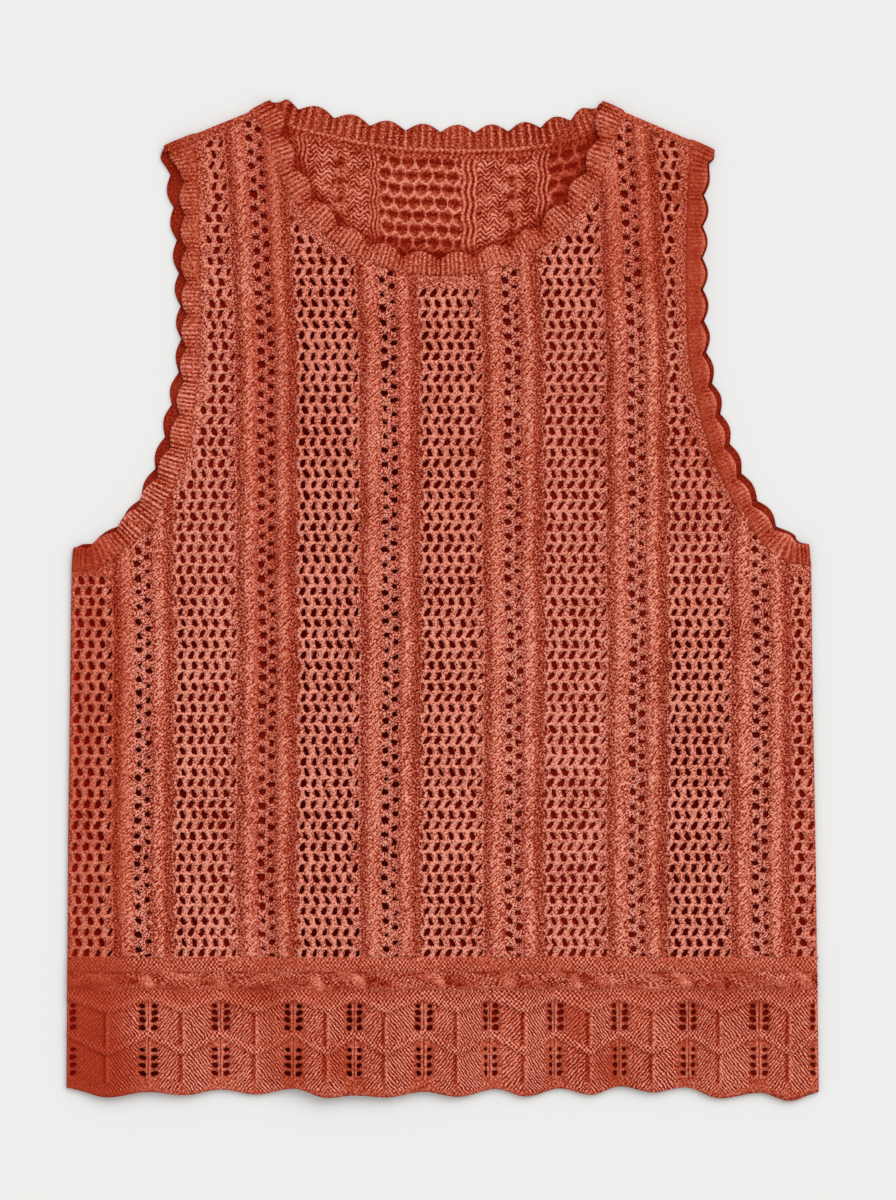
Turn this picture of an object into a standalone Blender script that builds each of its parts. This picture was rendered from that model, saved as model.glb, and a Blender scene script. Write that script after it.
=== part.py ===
"""Sleeveless lace-knit top, laid flat on its back.

Two knitted panels lie on each other. A scalloped rib band goes round the neck and another round
each armhole: its front half lies on the front panel's level, folds over at the shoulder or the
underarm, and comes back on the back panel's level.

x runs across the top, h is a height above the hem's lowest lobe, and z is up from the surface
that the top lies on. Sizes are in millimetres until a piece's mesh is made.
"""

import math

import bmesh
import bpy
from mathutils import Vector

MM = 0.001
UP = Vector((0, 0, 1))

# ---- driving dimensions ----
LENGTH = 584.3  # lowest hem lobe to highest neck scallop
WALL = 1.6  # thickness of the knitted cloth
SEAM_GAP = 0.3  # between pieces where they are joined
FRONT_LEVEL = WALL + SEAM_GAP  # underside of the front panel where it lies on the back
NECK_LIFT = 0.7  # how far the front stands off the back's raised ribs round the neck

# ---- knitted stripes: six rib groups with net between them ----
PATTERN_CENTRE = 5.5
GROUP_PITCH = 72.0
GROUPS = 6
RIB_RISE = 0.9
# one rib group, from its middle: two ribs with a flat eyelet ladder between them
GROUP_PROFILE = (
    # offset, rise
    (-18.0, 0.0),
    (-14.0, 1.0),
    (-7.0, 1.0),
    (-4.5, 0.0),
    (4.5, 0.0),
    (7.0, 1.0),
    (14.0, 1.0),
    (18.0, 0.0),
)
LEAN_START = 292.0  # above this height the stripes drift to the left
LEAN_TOP = 560.0
LEAN = -7.0

# ---- side edges ----
SIDES = (
    # h, left x, right x
    (0.0, -219.5, 219.5),
    (152.0, -218.5, 217.5),
    (234.0, -217.5, 216.0),
    (310.0, -216.5, 215.0),
    (600.0, -216.5, 215.0),
)
SIDE_ROLL = 3.0  # width over which a side edge rounds down
SIDE_DROP = 0.8

# ---- hem: a leaf pattern of eleven leaves, each ending in a lobe ----
HEM = (
    # notch x, notch h, lobe x, lobe h
    (-219.5, 7.5, -195.5, 2.3),
    (-171.5, 5.5, -151.0, 3.5),
    (-129.5, 6.7, -108.5, 3.8),
    (-87.0, 7.5, -67.0, 2.0),
    (-51.5, 3.5, -33.0, 2.3),
    (-11.0, 5.5, 9.0, 2.5),
    (31.0, 7.0, 48.5, 2.6),
    (68.5, 7.3, 86.5, 3.6),
    (104.0, 8.7, 123.0, 5.2),
    (141.0, 7.9, 162.0, 1.5),
    (184.5, 4.7, 202.5, 0.0),
)
HEM_END = (219.5, 5.0)
HEM_RELIEF = (
    # h at a notch, h at a lobe, rise at a notch, rise at a lobe
    (10.0, 8.0, 0.0, 0.5),
    (22.0, 18.0, -0.2, 0.9),
    (36.0, 26.5, 0.2, 0.3),
    (38.5, 29.0, 1.1, 1.1),
    (41.0, 31.5, 0.2, 0.3),
    (49.0, 42.0, -0.2, 0.8),
    (59.5, 51.5, 0.2, 0.3),
    (62.0, 54.0, 1.0, 1.0),
    (64.5, 57.0, 0.2, 0.2),
    (69.0, 68.0, 0.9, 0.9),
    (74.0, 74.0, 0.1, 0.1),
    (78.5, 78.5, 0.5, 0.5),
    (83.0, 83.0, 0.0, 0.0),
)
CABLE_ROW = 9  # the row of HEM_RELIEF that the knots stand on
KNOTS = (-171.0, -129.0, -72.0, -48.0, -1.0, 40.0, 79.0, 141.0, 162.0, 212.0)
KNOT_RISE = 0.8
KNOT_REACH = 5.0
BODY_ROWS = (87.0, 140.0, 190.0, 240.0, 292.0, 340.0, 385.0, 430.0, 470.0, 510.0, 545.0, 600.0)

# ---- soft folds of the front: the cloth rises from foot to crest and falls away to the end ----
FOLDS = (
    # foot x, crest x, end x, height, from h, to h
    (-219.0, -186.0, -106.0, 2.6, -60.0, 330.0),
    (-106.0, -82.0, 60.0, 3.6, -60.0, 500.0),
    (122.0, 136.0, 214.0, 2.6, 40.0, 320.0),
    (116.0, 128.0, 150.0, 1.2, 470.0, 560.0),
)
FOLD_FADE = 70.0

# ---- where the bands are sewn on ----
NECK_FRONT = (
    # x, h
    (-112.5, 576.3),
    (-106.5, 568.0),
    (-98.5, 545.0),
    (-83.0, 518.0),
    (-58.0, 495.5),
    (-29.0, 483.5),
    (1.5, 480.5),
    (31.0, 484.5),
    (58.0, 497.5),
    (81.0, 518.5),
    (96.5, 544.0),
    (103.0, 566.5),
    (105.5, 576.5),
)
NECK_BACK = (
    # x, h
    (-112.5, 576.3),
    (-93.0, 570.5),
    (-71.5, 565.0),
    (-46.5, 559.5),
    (-23.0, 556.3),
    (0.0, 555.3),
    (20.0, 555.0),
    (42.0, 556.0),
    (64.0, 559.0),
    (86.0, 565.5),
    (105.5, 576.5),
)
ARM_LEFT = (
    # front x, front h, back x, back h
    (-144.0, 563.5, -144.0, 563.5),
    (-143.3, 556.0, -148.5, 556.0),
    (-142.5, 545.5, -150.5, 545.5),
    (-141.0, 496.0, -146.0, 496.0),
    (-141.0, 438.0, -144.0, 438.0),
    (-144.0, 405.0, -149.5, 405.0),
    (-149.5, 376.5, -156.0, 376.5),
    (-158.0, 353.0, -165.5, 352.0),
    (-171.5, 333.0, -177.5, 334.0),
    (-186.5, 318.5, -190.5, 320.0),
    (-201.0, 310.5, -203.0, 312.5),
    (-215.0, 308.0, -215.0, 308.0),
)
ARM_RIGHT = (
    # front x, front h, back x, back h
    (144.0, 560.0, 144.0, 560.0),
    (143.0, 545.5, 144.5, 545.5),
    (141.5, 496.0, 143.0, 496.0),
    (142.5, 438.0, 145.0, 438.0),
    (148.5, 405.0, 152.0, 405.0),
    (156.5, 376.5, 160.8, 376.5),
    (167.5, 352.0, 170.5, 354.5),
    (180.5, 331.5, 181.5, 338.5),
    (192.0, 319.0, 191.5, 325.5),
    (203.5, 313.0, 203.0, 315.5),
    (213.3, 311.5, 213.3, 311.5),
)
NECK_WIDTH = 13.0
ARM_WIDTH = 10.6
ARM_WIDTH_UNDER = 15.0  # at the underarm
# shares of an armhole's edge, from the shoulder, between which its band widens
FRONT_WIDENING = {"left": (0.55, 0.8), "right": (0.78, 0.98)}
BACK_WIDENING = {"left": (0.82, 1.0), "right": (0.88, 1.0)}
FAN = 22.0  # length over which a band turns towards its fold
# the free edge's end at each fold
NECK_FOLDS = ((-100.0, 582.9), (92.5, 582.3))
ARM_LEFT_FOLDS = ((-162.5, 556.0), (-214.0, 323.0))
ARM_RIGHT_FOLDS = ((158.5, 553.5), (212.3, 325.0))
SHOULDER_OVERLAP = 1.5  # the panels reach this far past the bands' fold lines
FOLD_CLEARANCE = 1.3  # between a panel's corner and the neck band's fold

# ---- scallops ----
NECK_SCALLOP = 4.6
ARM_SCALLOP = 3.0
STATIONS = 6  # for each lobe
NECK_LOBES = (14.0, 10.1)  # front, back
ARM_LOBES = 13.5
NECK_SPREADS = (1.0, 1.12)  # over 1 where the lobes widen along the band
# where the first lobe of each half starts, as a share of a lobe
NECK_PHASES = (0.0, 0.68)
ARM_PHASES = {"left": (0.8, 0.5), "right": (0.6, 0.9)}
BAND_CROWN = 0.4
FLUTE = 0.3  # rise of every other station, for the band's ribs
SCALLOP_FADE = 4.0
MEAN_LOBE = 2 / math.pi  # mean of a half sine

# ---- the back's wrong side, which shows through the neck ----
BACK_RIBS = (
    # x, rise
    (-86.0, 0.0),
    (-84.5, 0.5),
    (-77.0, 0.5),
    (-75.5, 0.15),
    (-45.5, 0.15),
    (-44.0, 0.5),
    (-36.0, 0.5),
    (-34.5, 0.0),
    (10.5, 0.0),
    (12.0, 0.5),
    (20.0, 0.5),
    (21.5, 0.15),
    (52.5, 0.15),
    (54.0, 0.5),
    (61.5, 0.5),
    (63.0, 0.0),
)
BACK_RIB_ROWS = (
    # h, share of the rise
    (468.0, 0.0),
    (478.0, 1.0),
    (550.0, 1.0),
    (553.0, 0.0),
    (600.0, 0.0),
)

CORAL = (0.46, 0.085, 0.045, 1.0)
CORAL_INSIDE = (0.36, 0.060, 0.030, 1.0)


def ease(t):
    """0 to 1, with a soft start and end."""
    t = min(max(t, 0.0), 1.0)
    return t * t * (3 - 2 * t)


def between(rows, at, column):
    """Reads a column of a table at a value of its first column."""
    for low, high in zip(rows, rows[1:]):
        if at <= high[0]:
            t = max(at - low[0], 0.0) / (high[0] - low[0])
            return low[column] + t * (high[column] - low[column])
    return rows[-1][column]


def side_x(h, right):
    return between(SIDES, h, 2 if right else 1)


def lean(h):
    return LEAN * (max(h - LEAN_START, 0.0) / (LEAN_TOP - LEAN_START)) ** 3


def fold_height(x, h):
    """How far the front panel stands off the level it lies on."""
    height = 0.0
    for foot, crest, end, rise, low, high in FOLDS:
        along = ease((h - low) / FOLD_FADE) * ease((high - h) / FOLD_FADE)
        across = ease((x - foot) / (crest - foot)) if x < crest else ease((end - x) / (end - crest))
        height += rise * along * across
    lift = ease((112.0 - abs(x)) / 24.0) * ease((h - 440.0) / 40.0)
    return height + NECK_LIFT * lift


def front_under(x, h):
    return FRONT_LEVEL + fold_height(x, h)


# ---------------------------------------------------------------- lines


def smooth_line(rows, steps):
    """Catmull-Rom curve through the rows, with that many steps for each span."""
    points = [Vector(row) for row in rows]
    points = [2 * points[0] - points[1]] + points + [2 * points[-1] - points[-2]]
    line = []
    for before, start, end, after in zip(points, points[1:], points[2:], points[3:]):
        for k in range(steps):
            t = k / steps
            bend = (2 * before - 5 * start + 4 * end - after) * t * t
            twist = (3 * start - before - 3 * end + after) * t**3
            line.append((2 * start + (end - before) * t + bend + twist) / 2)
    return line + [Vector(rows[-1])]


def running_lengths(line):
    lengths = [0.0]
    for start, end in zip(line, line[1:]):
        lengths.append(lengths[-1] + (end - start).length)
    return lengths


def normals(line):
    """The left-hand normal at each point of a line."""
    result = []
    for i in range(len(line)):
        along = line[min(i + 1, len(line) - 1)] - line[max(i - 1, 0)]
        result.append(Vector((-along.y, along.x)).normalized())
    return result


def moved_line(line, distance):
    """The line moved sideways, to its left where distance is positive."""
    return [p + n * distance for p, n in zip(line, normals(line))]


# ---------------------------------------------------------------- pieces as meshes


def place(point):
    """A point in x, h, z millimetres, in metres about the middle of the top."""
    return Vector((point[0], point[1] - LENGTH / 2, point[2])) * MM


def knit_material(name, colour):
    material = bpy.data.materials.new(name)
    material.use_nodes = True
    shader = material.node_tree.nodes["Principled BSDF"]
    shader.inputs["Base Color"].default_value = colour
    shader.inputs["Roughness"].default_value = 0.85
    shader.inputs["Metallic"].default_value = 0.0
    return material


def piece_from(bm, name, colour):
    """Closes off a piece: faces out, in metres, with its own material."""
    bmesh.ops.recalc_face_normals(bm, faces=bm.faces)
    mesh = bpy.data.meshes.new(name)
    bm.to_mesh(mesh)
    bm.free()
    mesh.materials.append(knit_material(name, colour))
    piece = bpy.data.objects.new(name, mesh)
    bpy.context.scene.collection.objects.link(piece)
    mesh.shade_smooth()
    mesh.set_sharp_from_angle(angle=math.radians(40))
    return piece


def lace(bm, lower, upper):
    """Triangles between two rows with different numbers of points."""
    i = 0
    j = 0
    while i < len(lower) - 1 or j < len(upper) - 1:
        low_x = lower[i + 1].co.x if i < len(lower) - 1 else math.inf
        up_x = upper[j + 1].co.x if j < len(upper) - 1 else math.inf
        if low_x < up_x:
            bm.faces.new((lower[i], lower[i + 1], upper[j]))
            i += 1
        else:
            bm.faces.new((lower[i], upper[j + 1], upper[j]))
            j += 1


def skin(bm, rows):
    """Faces between rows of points: quads where two rows match, else triangles."""
    for lower, upper in zip(rows, rows[1:]):
        if len(lower) == len(upper):
            for i in range(len(lower) - 1):
                bm.faces.new((lower[i], lower[i + 1], upper[i + 1], upper[i]))
        else:
            lace(bm, lower, upper)


def slab(name, colour, top_rows, under_rows):
    """A closed sheet from rows of its two sides. The first rows match, and make the hem's edge."""
    bm = bmesh.new()
    top = [[bm.verts.new(place(p)) for p in row] for row in top_rows]
    under = [[bm.verts.new(place(p)) for p in row] for row in under_rows]
    skin(bm, top)
    skin(bm, under)
    skin(bm, [top[0], under[0]])
    for end in (0, -1):
        wall = [row[end] for row in top] + [row[end] for row in reversed(under)]
        bmesh.ops.triangulate(bm, faces=[bm.faces.new(wall)])
    bmesh.ops.triangulate(bm, faces=[bm.faces.new(top[-1] + under[-1][::-1])])
    return piece_from(bm, name, colour)


def cut_to(panel, outline):
    """Keeps what lies inside an outline, seen from above."""
    bm = bmesh.new()
    base = [bm.verts.new(place((p[0], p[1], -10.0))) for p in outline]
    face = bm.faces.new(base)
    raised = bmesh.ops.extrude_face_region(bm, geom=[face])["geom"]
    lifted = [v for v in raised if isinstance(v, bmesh.types.BMVert)]
    bmesh.ops.translate(bm, verts=lifted, vec=UP * 40 * MM)
    bmesh.ops.recalc_face_normals(bm, faces=bm.faces)
    mesh = bpy.data.meshes.new(panel.name + "_cut")
    bm.to_mesh(mesh)
    bm.free()
    cutter = bpy.data.objects.new(panel.name + "_cut", mesh)
    bpy.context.scene.collection.objects.link(cutter)
    cutter.hide_render = True
    cutter.display_type = "WIRE"
    cut = panel.modifiers.new("cut to outline", "BOOLEAN")
    cut.operation = "INTERSECT"
    cut.solver = "EXACT"
    cut.object = cutter


# ---------------------------------------------------------------- panels


def hem_columns():
    """x, h of the edge and share of a lobe (0 at a notch, 1 at a lobe) for each hem column."""
    columns = []
    ends = HEM[1:] + (HEM_END,)
    for (notch_x, notch_h, lobe_x, lobe_h), following in zip(HEM, ends):
        columns.append((notch_x, notch_h, 0.0))
        columns.append(((notch_x + lobe_x) / 2, (notch_h + lobe_h) / 2, 0.5))
        columns.append((lobe_x, lobe_h, 1.0))
        columns.append(((lobe_x + following[0]) / 2, (lobe_h + following[1]) / 2, 0.5))
    columns.append((HEM_END[0], HEM_END[1], 0.0))
    first, last = columns[0], columns[-1]
    columns.insert(1, (first[0] + SIDE_ROLL, first[1] - 1.0, 0.1))
    columns.insert(-1, (last[0] - SIDE_ROLL, last[1] - 1.0, 0.1))
    return columns


def hem_x(x, h):
    """A hem column's place at a height: the outermost ones follow the side edge."""
    if x <= HEM[0][0] + SIDE_ROLL:
        return side_x(h, False) + (x - HEM[0][0])
    if x >= HEM_END[0] - SIDE_ROLL:
        return side_x(h, True) + (x - HEM_END[0])
    return x


def knot_share(x):
    """1 where a knot stands on the cable row, falling to 0 beside it."""
    nearest = min(abs(x - knot) for knot in KNOTS)
    return max(1.0 - nearest / KNOT_REACH, 0.0)


def hem_front_rows():
    """The hem's outer rows on the front, from the edge up: leaves, zigzag ridges and cable row."""
    columns = hem_columns()
    edge, roll = [], []
    for x, edge_h, _ in columns:
        edge.append((hem_x(x, edge_h), edge_h, front_under(x, edge_h) + 0.6 * WALL))
        roll_h = edge_h + 1.5
        roll.append((hem_x(x, roll_h), roll_h, front_under(x, roll_h) + WALL + 0.2))
    rows = [edge, roll]
    for number, (notch_h, lobe_h, notch_rise, lobe_rise) in enumerate(HEM_RELIEF):
        row = []
        for x, _, lobe in columns:
            h = notch_h + lobe * (lobe_h - notch_h)
            rise = notch_rise + lobe * (lobe_rise - notch_rise)
            if number == CABLE_ROW:
                rise += KNOT_RISE * knot_share(x)
            row.append((hem_x(x, h), h, front_under(x, h) + WALL + rise))
        rows.append(row)
    for row in rows:
        for end in (0, -1):
            x, h, z = row[end]
            row[end] = (x, h, min(z, front_under(x, h) + WALL - SIDE_DROP))
    return rows


def stripe_columns():
    """x and rise of every column of the front's body, from one side to the other."""
    columns = []
    for group in range(GROUPS):
        middle = PATTERN_CENTRE + (group - (GROUPS - 1) / 2) * GROUP_PITCH
        columns += [(middle + offset, share * RIB_RISE) for offset, share in GROUP_PROFILE]
    return columns


def body_row(h, columns, level):
    """One row across a panel's body at a height: side edges with their roll, and the columns."""
    left, right = side_x(h, False), side_x(h, True)
    row = [(left, h, level(left, h) - SIDE_DROP), (left + SIDE_ROLL, h, level(left, h))]
    for x, rise in columns:
        place_x = x + lean(h)
        row.append((place_x, h, level(place_x, h) + rise))
    row += [(right - SIDE_ROLL, h, level(right, h)), (right, h, level(right, h) - SIDE_DROP)]
    return row


def front_panel():
    def outer(x, h):
        return front_under(x, h) + WALL

    top = hem_front_rows()
    top += [body_row(h, stripe_columns(), outer) for h in BODY_ROWS]

    under = [[(x, h, front_under(x, h)) for x, h, _ in top[0]]]
    plain = [x for x, _ in stripe_columns()[::3]]
    for h in (14.0,) + BODY_ROWS:
        xs = [side_x(h, False)] + [x + lean(h) for x in plain] + [side_x(h, True)]
        under.append([(x, h, front_under(x, h)) for x in xs])
    panel = slab("front_panel", CORAL, top, under)
    cut_to(panel, panel_outline(NECK_FRONT, 0))
    return panel


def back_panel():
    edge = [(hem_x(x, h), h) for x, h, _ in hem_columns()]
    top = [[(x, h, 0.6 * WALL) for x, h in edge]]
    top.append([(hem_x(x, 12.0), 12.0, WALL) for x, _ in edge])
    for h in (152.0, 234.0, 310.0):
        top.append([(side_x(h, False), h, WALL), (side_x(h, True), h, WALL)])
    for h, share in BACK_RIB_ROWS:
        xs = [(side_x(h, False), 0.0)] + list(BACK_RIBS) + [(side_x(h, True), 0.0)]
        top.append([(x, h, WALL + rise * share) for x, rise in xs])
    under = [[(x, h, 0.0) for x, h in edge]]
    for h, left, right in SIDES[1:]:
        under.append([(left, h, 0.0), (right, h, 0.0)])
    panel = slab("back_panel", CORAL_INSIDE, top, under)
    cut_to(panel, panel_outline(NECK_BACK, 2))
    return panel


def panel_outline(neck, column):
    """A panel's outline above the underarms: armholes, shoulders and neck, clear of the bands.
    column is 0 for the front's armholes in their tables and 2 for the back's."""
    left = smooth_line([row[column : column + 2] for row in ARM_LEFT], 6)
    right = smooth_line([row[column : column + 2] for row in ARM_RIGHT], 6)
    left = moved_line(left, SEAM_GAP)[::-1]
    right = moved_line(right, -SEAM_GAP)
    middle = moved_line(smooth_line(neck, 6), -SEAM_GAP)
    lift = Vector((0.0, SHOULDER_OVERLAP))
    aside = Vector((FOLD_CLEARANCE, 0.0))
    corners = [left[-1] + lift, middle[0] + lift - aside, middle[-1] + lift + aside, right[0] + lift]
    far = 260.0
    low = [Vector((-far, -40.0)), Vector((-far, left[0].y))]
    high = [Vector((far, right[-1].y)), Vector((far, -40.0))]
    line = low + left + corners[:2] + middle + corners[2:] + right + high
    return line


# ---------------------------------------------------------------- bands


def band_half(sewn_rows, folds, width_at, lobes, spread, phase, turn, scallop):
    """Stations of half a band, spaced along its free edge, evenly where spread is 1.
    Each is its point on the seam, the vector to its free edge, and the rise of its crown.
    turn is 1 where the free edge is to the left of the seam's direction, and -1 to the right."""
    line = smooth_line(sewn_rows, 8)
    lengths = running_lengths(line)
    total = lengths[-1]
    start_vector = Vector(folds[0]) - line[0]
    end_vector = Vector(folds[1]) - line[-1]
    reach = []
    for point, normal, length in zip(line, normals(line), lengths):
        straight = normal * turn * width_at(length / total)
        at_start = ease(1 - length / FAN)
        at_end = ease(1 - (total - length) / FAN)
        vector = straight * (1 - at_start - at_end) + start_vector * at_start + end_vector * at_end
        reach.append(vector)
    free = [p + v for p, v in zip(line, reach)]
    free_lengths = running_lengths(free)
    count = round(lobes * STATIONS)
    stations = []
    i = 0
    for k in range(count + 1):
        at = free_lengths[-1] * (k / count) ** spread
        while i < len(line) - 2 and free_lengths[i + 1] < at:
            i += 1
        t = (at - free_lengths[i]) / (free_lengths[i + 1] - free_lengths[i])
        point = line[i].lerp(line[i + 1], t)
        vector = reach[i].lerp(reach[i + 1], t)
        lobe = abs(math.sin(math.pi * (lobes * k / count + phase)))
        fade = ease(min(at, free_lengths[-1] - at) / SCALLOP_FADE)
        vector = vector * (1 + fade * scallop * (lobe - MEAN_LOBE) / vector.length)
        stations.append((point, vector, fade * (BAND_CROWN * lobe + FLUTE * (k % 2))))
    return stations


def band_section(point, vector, origin_z, out, outer_crown, inner_crown, reach=0.0):
    """Seven points round a band: its outer side, its free edge and its inner side.
    out is the direction that the outer side faces, and reach how far the inner side is from
    the fold's axis along it."""
    width = vector.length
    along = Vector((vector.x, vector.y, 0)).normalized()
    origin = Vector((point.x, point.y, origin_z)) + out * reach
    shape = (
        # share of the width, height over the inner side
        (0.0, WALL),
        (0.45, WALL + outer_crown),
        (0.85, WALL + 0.3 * outer_crown),
        (1.0, 0.55 * WALL),
        (0.92, 0.0),
        (0.45, -inner_crown),
        (0.0, 0.0),
    )
    return [origin + along * (share * width) + out * height for share, height in shape]


def fold_sections(station, outward):
    """A band's half turn from the front's level to the back's, about the line of its fold."""
    point, vector, _ = station
    top = front_under(point.x, point.y)
    middle = (top + WALL) / 2
    inner = (top - WALL) / 2
    side = Vector((-vector.y, vector.x, 0)).normalized()
    if side.dot(Vector((outward.x, outward.y, 0))) < 0:
        side = -side
    sections = []
    for k in (1, 2, 3):
        angle = math.pi * k / 4
        out = UP * math.cos(angle) + side * math.sin(angle)
        sections.append(band_section(point, vector, middle, out, 0, 0, inner))
    return sections


def band(name, front, back, back_shows):
    """A band closed round its opening: front half, fold, back half and fold again.
    back_shows is True where the back half's inner side is seen, and is ribbed too."""
    sections = []
    for point, vector, crown in front:
        level = front_under(point.x, point.y)
        sections.append(band_section(point, vector, level, UP, crown, 0))
    sections += fold_sections(front[-1], front[-1][0] - front[-2][0])
    for number, (point, vector, crown) in enumerate(back):
        from_end = min(number, len(back) - 1 - number)
        inner_crown = crown * ease((from_end - STATIONS) / STATIONS) if back_shows else 0.0
        sections.append(band_section(point, vector, WALL, -UP, 0, inner_crown))
    sections += fold_sections(front[0], front[0][0] - front[1][0])[::-1]
    bm = bmesh.new()
    rings = [[bm.verts.new(place(p)) for p in section] for section in sections]
    for ring, following in zip(rings, rings[1:] + rings[:1]):
        for i in range(len(ring)):
            j = (i + 1) % len(ring)
            bm.faces.new((ring[i], ring[j], following[j], following[i]))
    return piece_from(bm, name, CORAL)


def neck_band():
    def width(_):
        return NECK_WIDTH

    halves = []
    tables = ((NECK_FRONT, NECK_FOLDS, 1), (NECK_BACK[::-1], NECK_FOLDS[::-1], -1))
    for number, (rows, folds, turn) in enumerate(tables):
        lobes, spread = NECK_LOBES[number], NECK_SPREADS[number]
        phase = NECK_PHASES[number]
        half = band_half(rows, folds, width, lobes, spread, phase, turn, NECK_SCALLOP)
        halves.append(half)
    return band("neck_band", halves[0], halves[1], True)


def arm_width(share, widening):
    """An arm band's width at a share of the way from the shoulder to the underarm."""
    start, end = widening
    return ARM_WIDTH + (ARM_WIDTH_UNDER - ARM_WIDTH) * ease((share - start) / (end - start))


def arm_band(side, table, folds, turn):
    def front_width(share):
        return arm_width(share, FRONT_WIDENING[side])

    def back_width(share):
        return arm_width(1 - share, BACK_WIDENING[side])

    rows = [row[:2] for row in table]
    back_rows = [row[2:] for row in table][::-1]
    first, second = ARM_PHASES[side]
    front = band_half(rows, folds, front_width, ARM_LOBES, 1.0, first, turn, ARM_SCALLOP)
    back_folds = folds[::-1]
    back = band_half(back_rows, back_folds, back_width, ARM_LOBES, 1.0, second, -turn, ARM_SCALLOP)
    return band("arm_band_" + side, front, back, False)


def build():
    for old in list(bpy.data.objects):
        bpy.data.objects.remove(old)
    back_panel()
    front_panel()
    neck_band()
    arm_band("left", ARM_LEFT, ARM_LEFT_FOLDS, -1)
    arm_band("right", ARM_RIGHT, ARM_RIGHT_FOLDS, 1)


build()
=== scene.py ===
import math

import bmesh
import bpy
import numpy as np
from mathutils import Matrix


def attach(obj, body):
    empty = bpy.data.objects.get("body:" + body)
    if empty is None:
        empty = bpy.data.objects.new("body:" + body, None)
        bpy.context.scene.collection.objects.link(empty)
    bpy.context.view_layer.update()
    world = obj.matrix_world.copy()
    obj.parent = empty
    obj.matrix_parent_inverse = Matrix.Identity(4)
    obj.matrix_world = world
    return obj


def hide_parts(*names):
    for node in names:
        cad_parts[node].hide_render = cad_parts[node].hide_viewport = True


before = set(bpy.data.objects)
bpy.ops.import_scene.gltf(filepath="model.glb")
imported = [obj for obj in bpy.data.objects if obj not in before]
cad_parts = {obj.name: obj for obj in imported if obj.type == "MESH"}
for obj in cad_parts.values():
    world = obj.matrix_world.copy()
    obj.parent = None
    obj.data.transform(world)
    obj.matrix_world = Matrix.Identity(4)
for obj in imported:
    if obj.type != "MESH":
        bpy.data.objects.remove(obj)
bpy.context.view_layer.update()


# ---------------------------------------------------------------- the surface and the light
# A plain pale table top, lit by a broad soft lamp from the upper right and by even light all round.
# The camera looks straight down on the laid-out top.

TABLE_TOP = -0.0002  # metres: just below the part, so that the two never share a surface
SENSOR = 36
CAMERA_UP = 2.5
VIEW_HEIGHT = 0.6996  # metres of the table from the picture's lower edge to its upper one


def put_in_scene(name, data):
    """A new object in the scene, from its mesh, lamp or camera."""
    thing = bpy.data.objects.new(name, data)
    bpy.context.scene.collection.objects.link(thing)
    return thing


floor_mesh = bpy.data.meshes.new("table_top")
bm = bmesh.new()
bmesh.ops.create_grid(bm, x_segments=1, y_segments=1, size=8.0)
bmesh.ops.translate(bm, verts=bm.verts, vec=(0, 0, TABLE_TOP))
bm.to_mesh(floor_mesh)
bm.free()
table_top = put_in_scene("table_top", floor_mesh)
table_finish = bpy.data.materials.new("pale_table")
table_finish.use_nodes = True
table_shader = table_finish.node_tree.nodes["Principled BSDF"]
table_shader.inputs["Base Color"].default_value = (0.80, 0.80, 0.79, 1)
table_shader.inputs["Roughness"].default_value = 0.9
table_shader.inputs["Specular IOR Level"].default_value = 0.1
floor_mesh.materials.append(table_finish)

sun = bpy.data.lights.new("window_light", "SUN")
sun.energy = 1.55
sun.angle = math.radians(48)
put_in_scene("window_light", sun).rotation_euler = (math.radians(-38), math.radians(30), 0)

world = bpy.data.worlds.new("studio")
world.use_nodes = True
world.node_tree.nodes["Background"].inputs["Color"].default_value = (1.0, 1.0, 0.995, 1)
world.node_tree.nodes["Background"].inputs["Strength"].default_value = 0.735
bpy.context.scene.world = world
bpy.context.scene.view_settings.view_transform = "Standard"

camera = bpy.data.cameras.new("camera")
camera.lens = SENSOR * CAMERA_UP / VIEW_HEIGHT
camera.sensor_width = SENSOR
camera.clip_end = 20
camera_object = put_in_scene("camera", camera)
camera_object.location = (0.0031, 0.0001, CAMERA_UP + 0.004)
bpy.context.scene.camera = camera_object


# ---------------------------------------------------------------- front panel: lace stripes
# Seven stripes of even net run up the front, knitted in fine cotton. Their gaps lean one way in
# one row and the other way in the next. All of the top's sizes here are millimetres: x across,
# h up from the hem's lowest lobe, z off the table.

HALF_LENGTH = 292.15
WALL = 1.6
FRONT_LEVEL = 1.9


def ease(t):
    """0 to 1, with a soft start and end."""
    t = np.clip(t, 0.0, 1.0)
    return t * t * (3 - 2 * t)


SIDE_H = (0.0, 152.0, 234.0, 310.0, 600.0)
SIDE_LEFT = (-219.5, -218.5, -217.5, -216.5, -216.5)
SIDE_RIGHT = (219.5, 217.5, 216.0, 215.0, 215.0)


def side_left(h):
    """Where the left side is at a height."""
    return np.interp(h, SIDE_H, SIDE_LEFT)


def side_right(h):
    """Where the right side is at a height."""
    return np.interp(h, SIDE_H, SIDE_RIGHT)


def from_sides(x, h):
    """How far inside the nearer of the two sides a place is."""
    return np.minimum(x - side_left(h), side_right(h) - x)


def lean(h):
    """How far the stripes have drifted sideways at a height."""
    waver = 0.35 * np.sin(h / 31.0) + 0.3 * np.sin(h / 13.7 + 1.0)
    return waver - 7.0 * (np.maximum(h - 292.0, 0.0) / 268.0) ** 3


# soft folds: the cloth rises from foot to crest and falls away to the end
FOLDS = (
    # foot x, crest x, end x, height, from h, to h
    (-219, -186, -106, 2.6, -60, 330),
    (-106, -82, 60, 3.6, -60, 500),
    (122, 136, 214, 2.6, 40, 320),
    (116, 128, 150, 1.2, 470, 560),
)
FOLD_FADE = 70.0


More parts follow.
